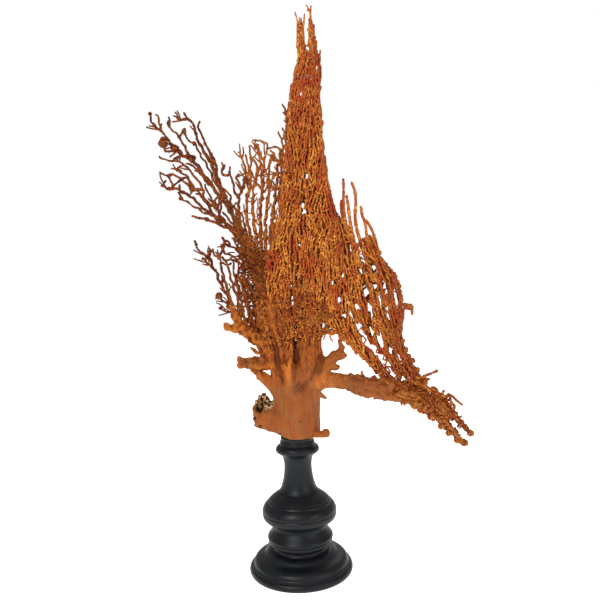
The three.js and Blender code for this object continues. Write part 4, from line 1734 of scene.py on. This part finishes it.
# the arm's knobbly end, twisted ropes of fused twigs
armTip = {
    "radius": 2.25,
    "curlRadius": 0.95,
    "twigRadius": 1.35,
    "ropes": [
        [(90, 152), (101, 149), (112, 144), (122, 137), (132, 129), (141, 118), (149, 108), (152.5, 105)],
        [(90, 157), (100, 155), (114, 150), (126, 143), (137, 134), (146, 126), (153, 119), (158, 114)],
        [(94, 148), (104, 145), (114, 140), (124, 132), (133, 124), (142, 114), (148, 107)],
        [(94, 154), (106, 151), (118, 143), (129, 133), (138, 123), (145, 115)],
        [(96, 160), (108, 156), (120, 151), (132, 142), (141, 132), (150, 123)],
        [(98, 151), (110, 148), (120, 141), (130, 135), (138, 129)],
        [(104, 164), (114, 160), (124, 153), (132, 148), (139, 140), (145, 131)],
        [(88, 150), (98, 146), (108, 143), (116, 137), (124, 131)],
        [(92, 162), (103, 158), (112, 154), (121, 147), (128, 140)],
    ],
    "twigs": [
        [(126, 152), (132, 150), (135, 153)],
        [(130, 149), (137, 148), (141, 149), (146, 144), (151, 140)],
        [(140, 148), (141, 143), (144, 139), (143, 135)],
        [(108, 165), (113, 165), (118, 167), (124, 169), (129, 171)],
        [(117, 166), (120, 164), (122, 164)],
        [(133, 151), (136, 147), (139, 150)],
        [(60, 171), (60.5, 173.5)],
        [(46, 160), (47.5, 157.5)],
        [(73, 151), (71, 149)],
        [(128, 155), (130, 151), (134, 150)],
    ],
    "galls": [
        (152, 105.5, 3.2), (157, 115, 2.8), (129, 171, 1.7), (107, 141, 3.0), (113, 137, 3.2),
        (122, 130, 3.0), (131, 121, 2.8), (138, 115, 2.8), (145, 108, 2.8), (118, 161, 3.0),
        (126, 155, 2.6), (112, 167, 2.8), (150, 124, 2.6), (144, 132, 2.4), (122, 145, 3.4),
        (108, 152, 3.2), (100, 146, 2.6),
    ],
}


def armDepth(across, up):
    return -9 - 3 * blend(across, 90, 150)


def armEase(across, up):
    along = blend(across, 100, 120)
    return across - 1.4 * along, up + 0.8 * along


def makeArmTip(material):
    tip = easedFan(armTip, armEase)
    front = draped(armDepth)
    strands = []
    for n, line in enumerate(tip["ropes"]):
        def twisted(across, up, n=n):
            return front(across, up) + 1 + 3.2 * math.sin(across * 0.12 + n * 1.7)
        strand = dress(line, twisted, tip["radius"], n + 5011, rough=0.5, tip=1.0, root=1.1, bow=0.5, step=1.3)
        strands.append(strand)
    patch = Patch(3)
    for line in tip["ropes"]:
        patch.add([tuple(p) for p in smoothLine(line, 1.0)])
    for n, line in enumerate(curls(patch, 210, (3, 6), 91, lambda point: True)):
        around = random.Random(n + 800).uniform(-3, 6)
        def shallow(across, up, around=around):
            return front(across, up) + around
        strands.append(dress(line, shallow, tip["curlRadius"], n + 5100, rough=0.3, tip=0.8))
    for n, line in enumerate(tip["twigs"]):
        strands.append(dress(line, armDepth, tip["twigRadius"], n + 5041, tip=0.95))
    for n, (across, up, radius) in enumerate(tip["galls"]):
        strands += gall(across, up, armDepth(across, up) - 1.5, radius, 5300 + n)
    makeFan("armTipFan", strands, material, numbered("arm_tip_branch", range(1, 6)))


# the back leaf, which shows from behind and the sides
backFan = {
    "radius": 1.05,
    "outline": [
        (-6, 212), (-10, 250), (-8, 290), (-4, 330), (0, 365), (5, 395), (10, 418), (15, 430), (20, 434),
        (25, 425), (28, 400), (30, 370), (35, 340), (42, 310), (52, 292), (66, 280), (78, 266), (84, 250),
        (76, 238), (60, 232), (46, 222), (32, 208), (14, 206),
    ],
    "guides": [
        [(2, 210), (-2, 260), (0, 320), (7, 380), (13, 425)],
        [(12, 208), (14, 260), (16, 320), (20, 380), (22, 430)],
        [(20, 208), (30, 250), (34, 300), (32, 350), (30, 390)],
        [(26, 210), (40, 236), (50, 262), (56, 285)],
        [(30, 208), (50, 228), (68, 244), (80, 256)],
    ],
    "layers": [
        {
            "deeper": 0, "spacing": 3.0, "seed": 71, "wander": (1.2, 1.2), "links": 150, "curls": 100,
            "off": 2,
        },
        {
            "deeper": 3, "spacing": 3.2, "seed": 72, "wander": (1.2, 1.2), "links": 150, "curls": 200,
            "off": 2.4,
        },
    ],
}


def makeBack(material):
    leaf = Leaf(backFan["outline"], backFan["guides"], spire["gaps"] + rightFan["gaps"])
    strands = []
    for n, layer in enumerate(backFan["layers"]):
        def depthAt(across, up, deeper=layer["deeper"]):
            return 7 + deeper + 15 * blend(up, 205, 300) + 2.2 * math.sin(across * 0.09 + up * 0.03)
        strands += wovenLayer(leaf, depthAt, layer, backFan["radius"], 40000 + 3000 * n)
    makeFan("backFan", strands, material, numbered("back_branch", range(1, 5)))


def makeFans():
    golden = makeTwigs("goldenTwigs", goldenFinish)
    russet = makeTwigs("russetTwigs", russetFinish)
    rusty = makeTwigs("rustyTwigs", rustyFinish)
    makeUpperLeft(russet)
    makeLowerLeft(russet)
    makeMiddleLeft(golden, rusty)
    makeColumns(rusty)
    makeSpire(golden, rusty)
    makeRight(golden, rusty)
    makeArmTip(rusty)
    makeBack(golden)


makeCamera()
makeStudio()
makeFloor()
makeStand()
makeLimbs()
makeFans()
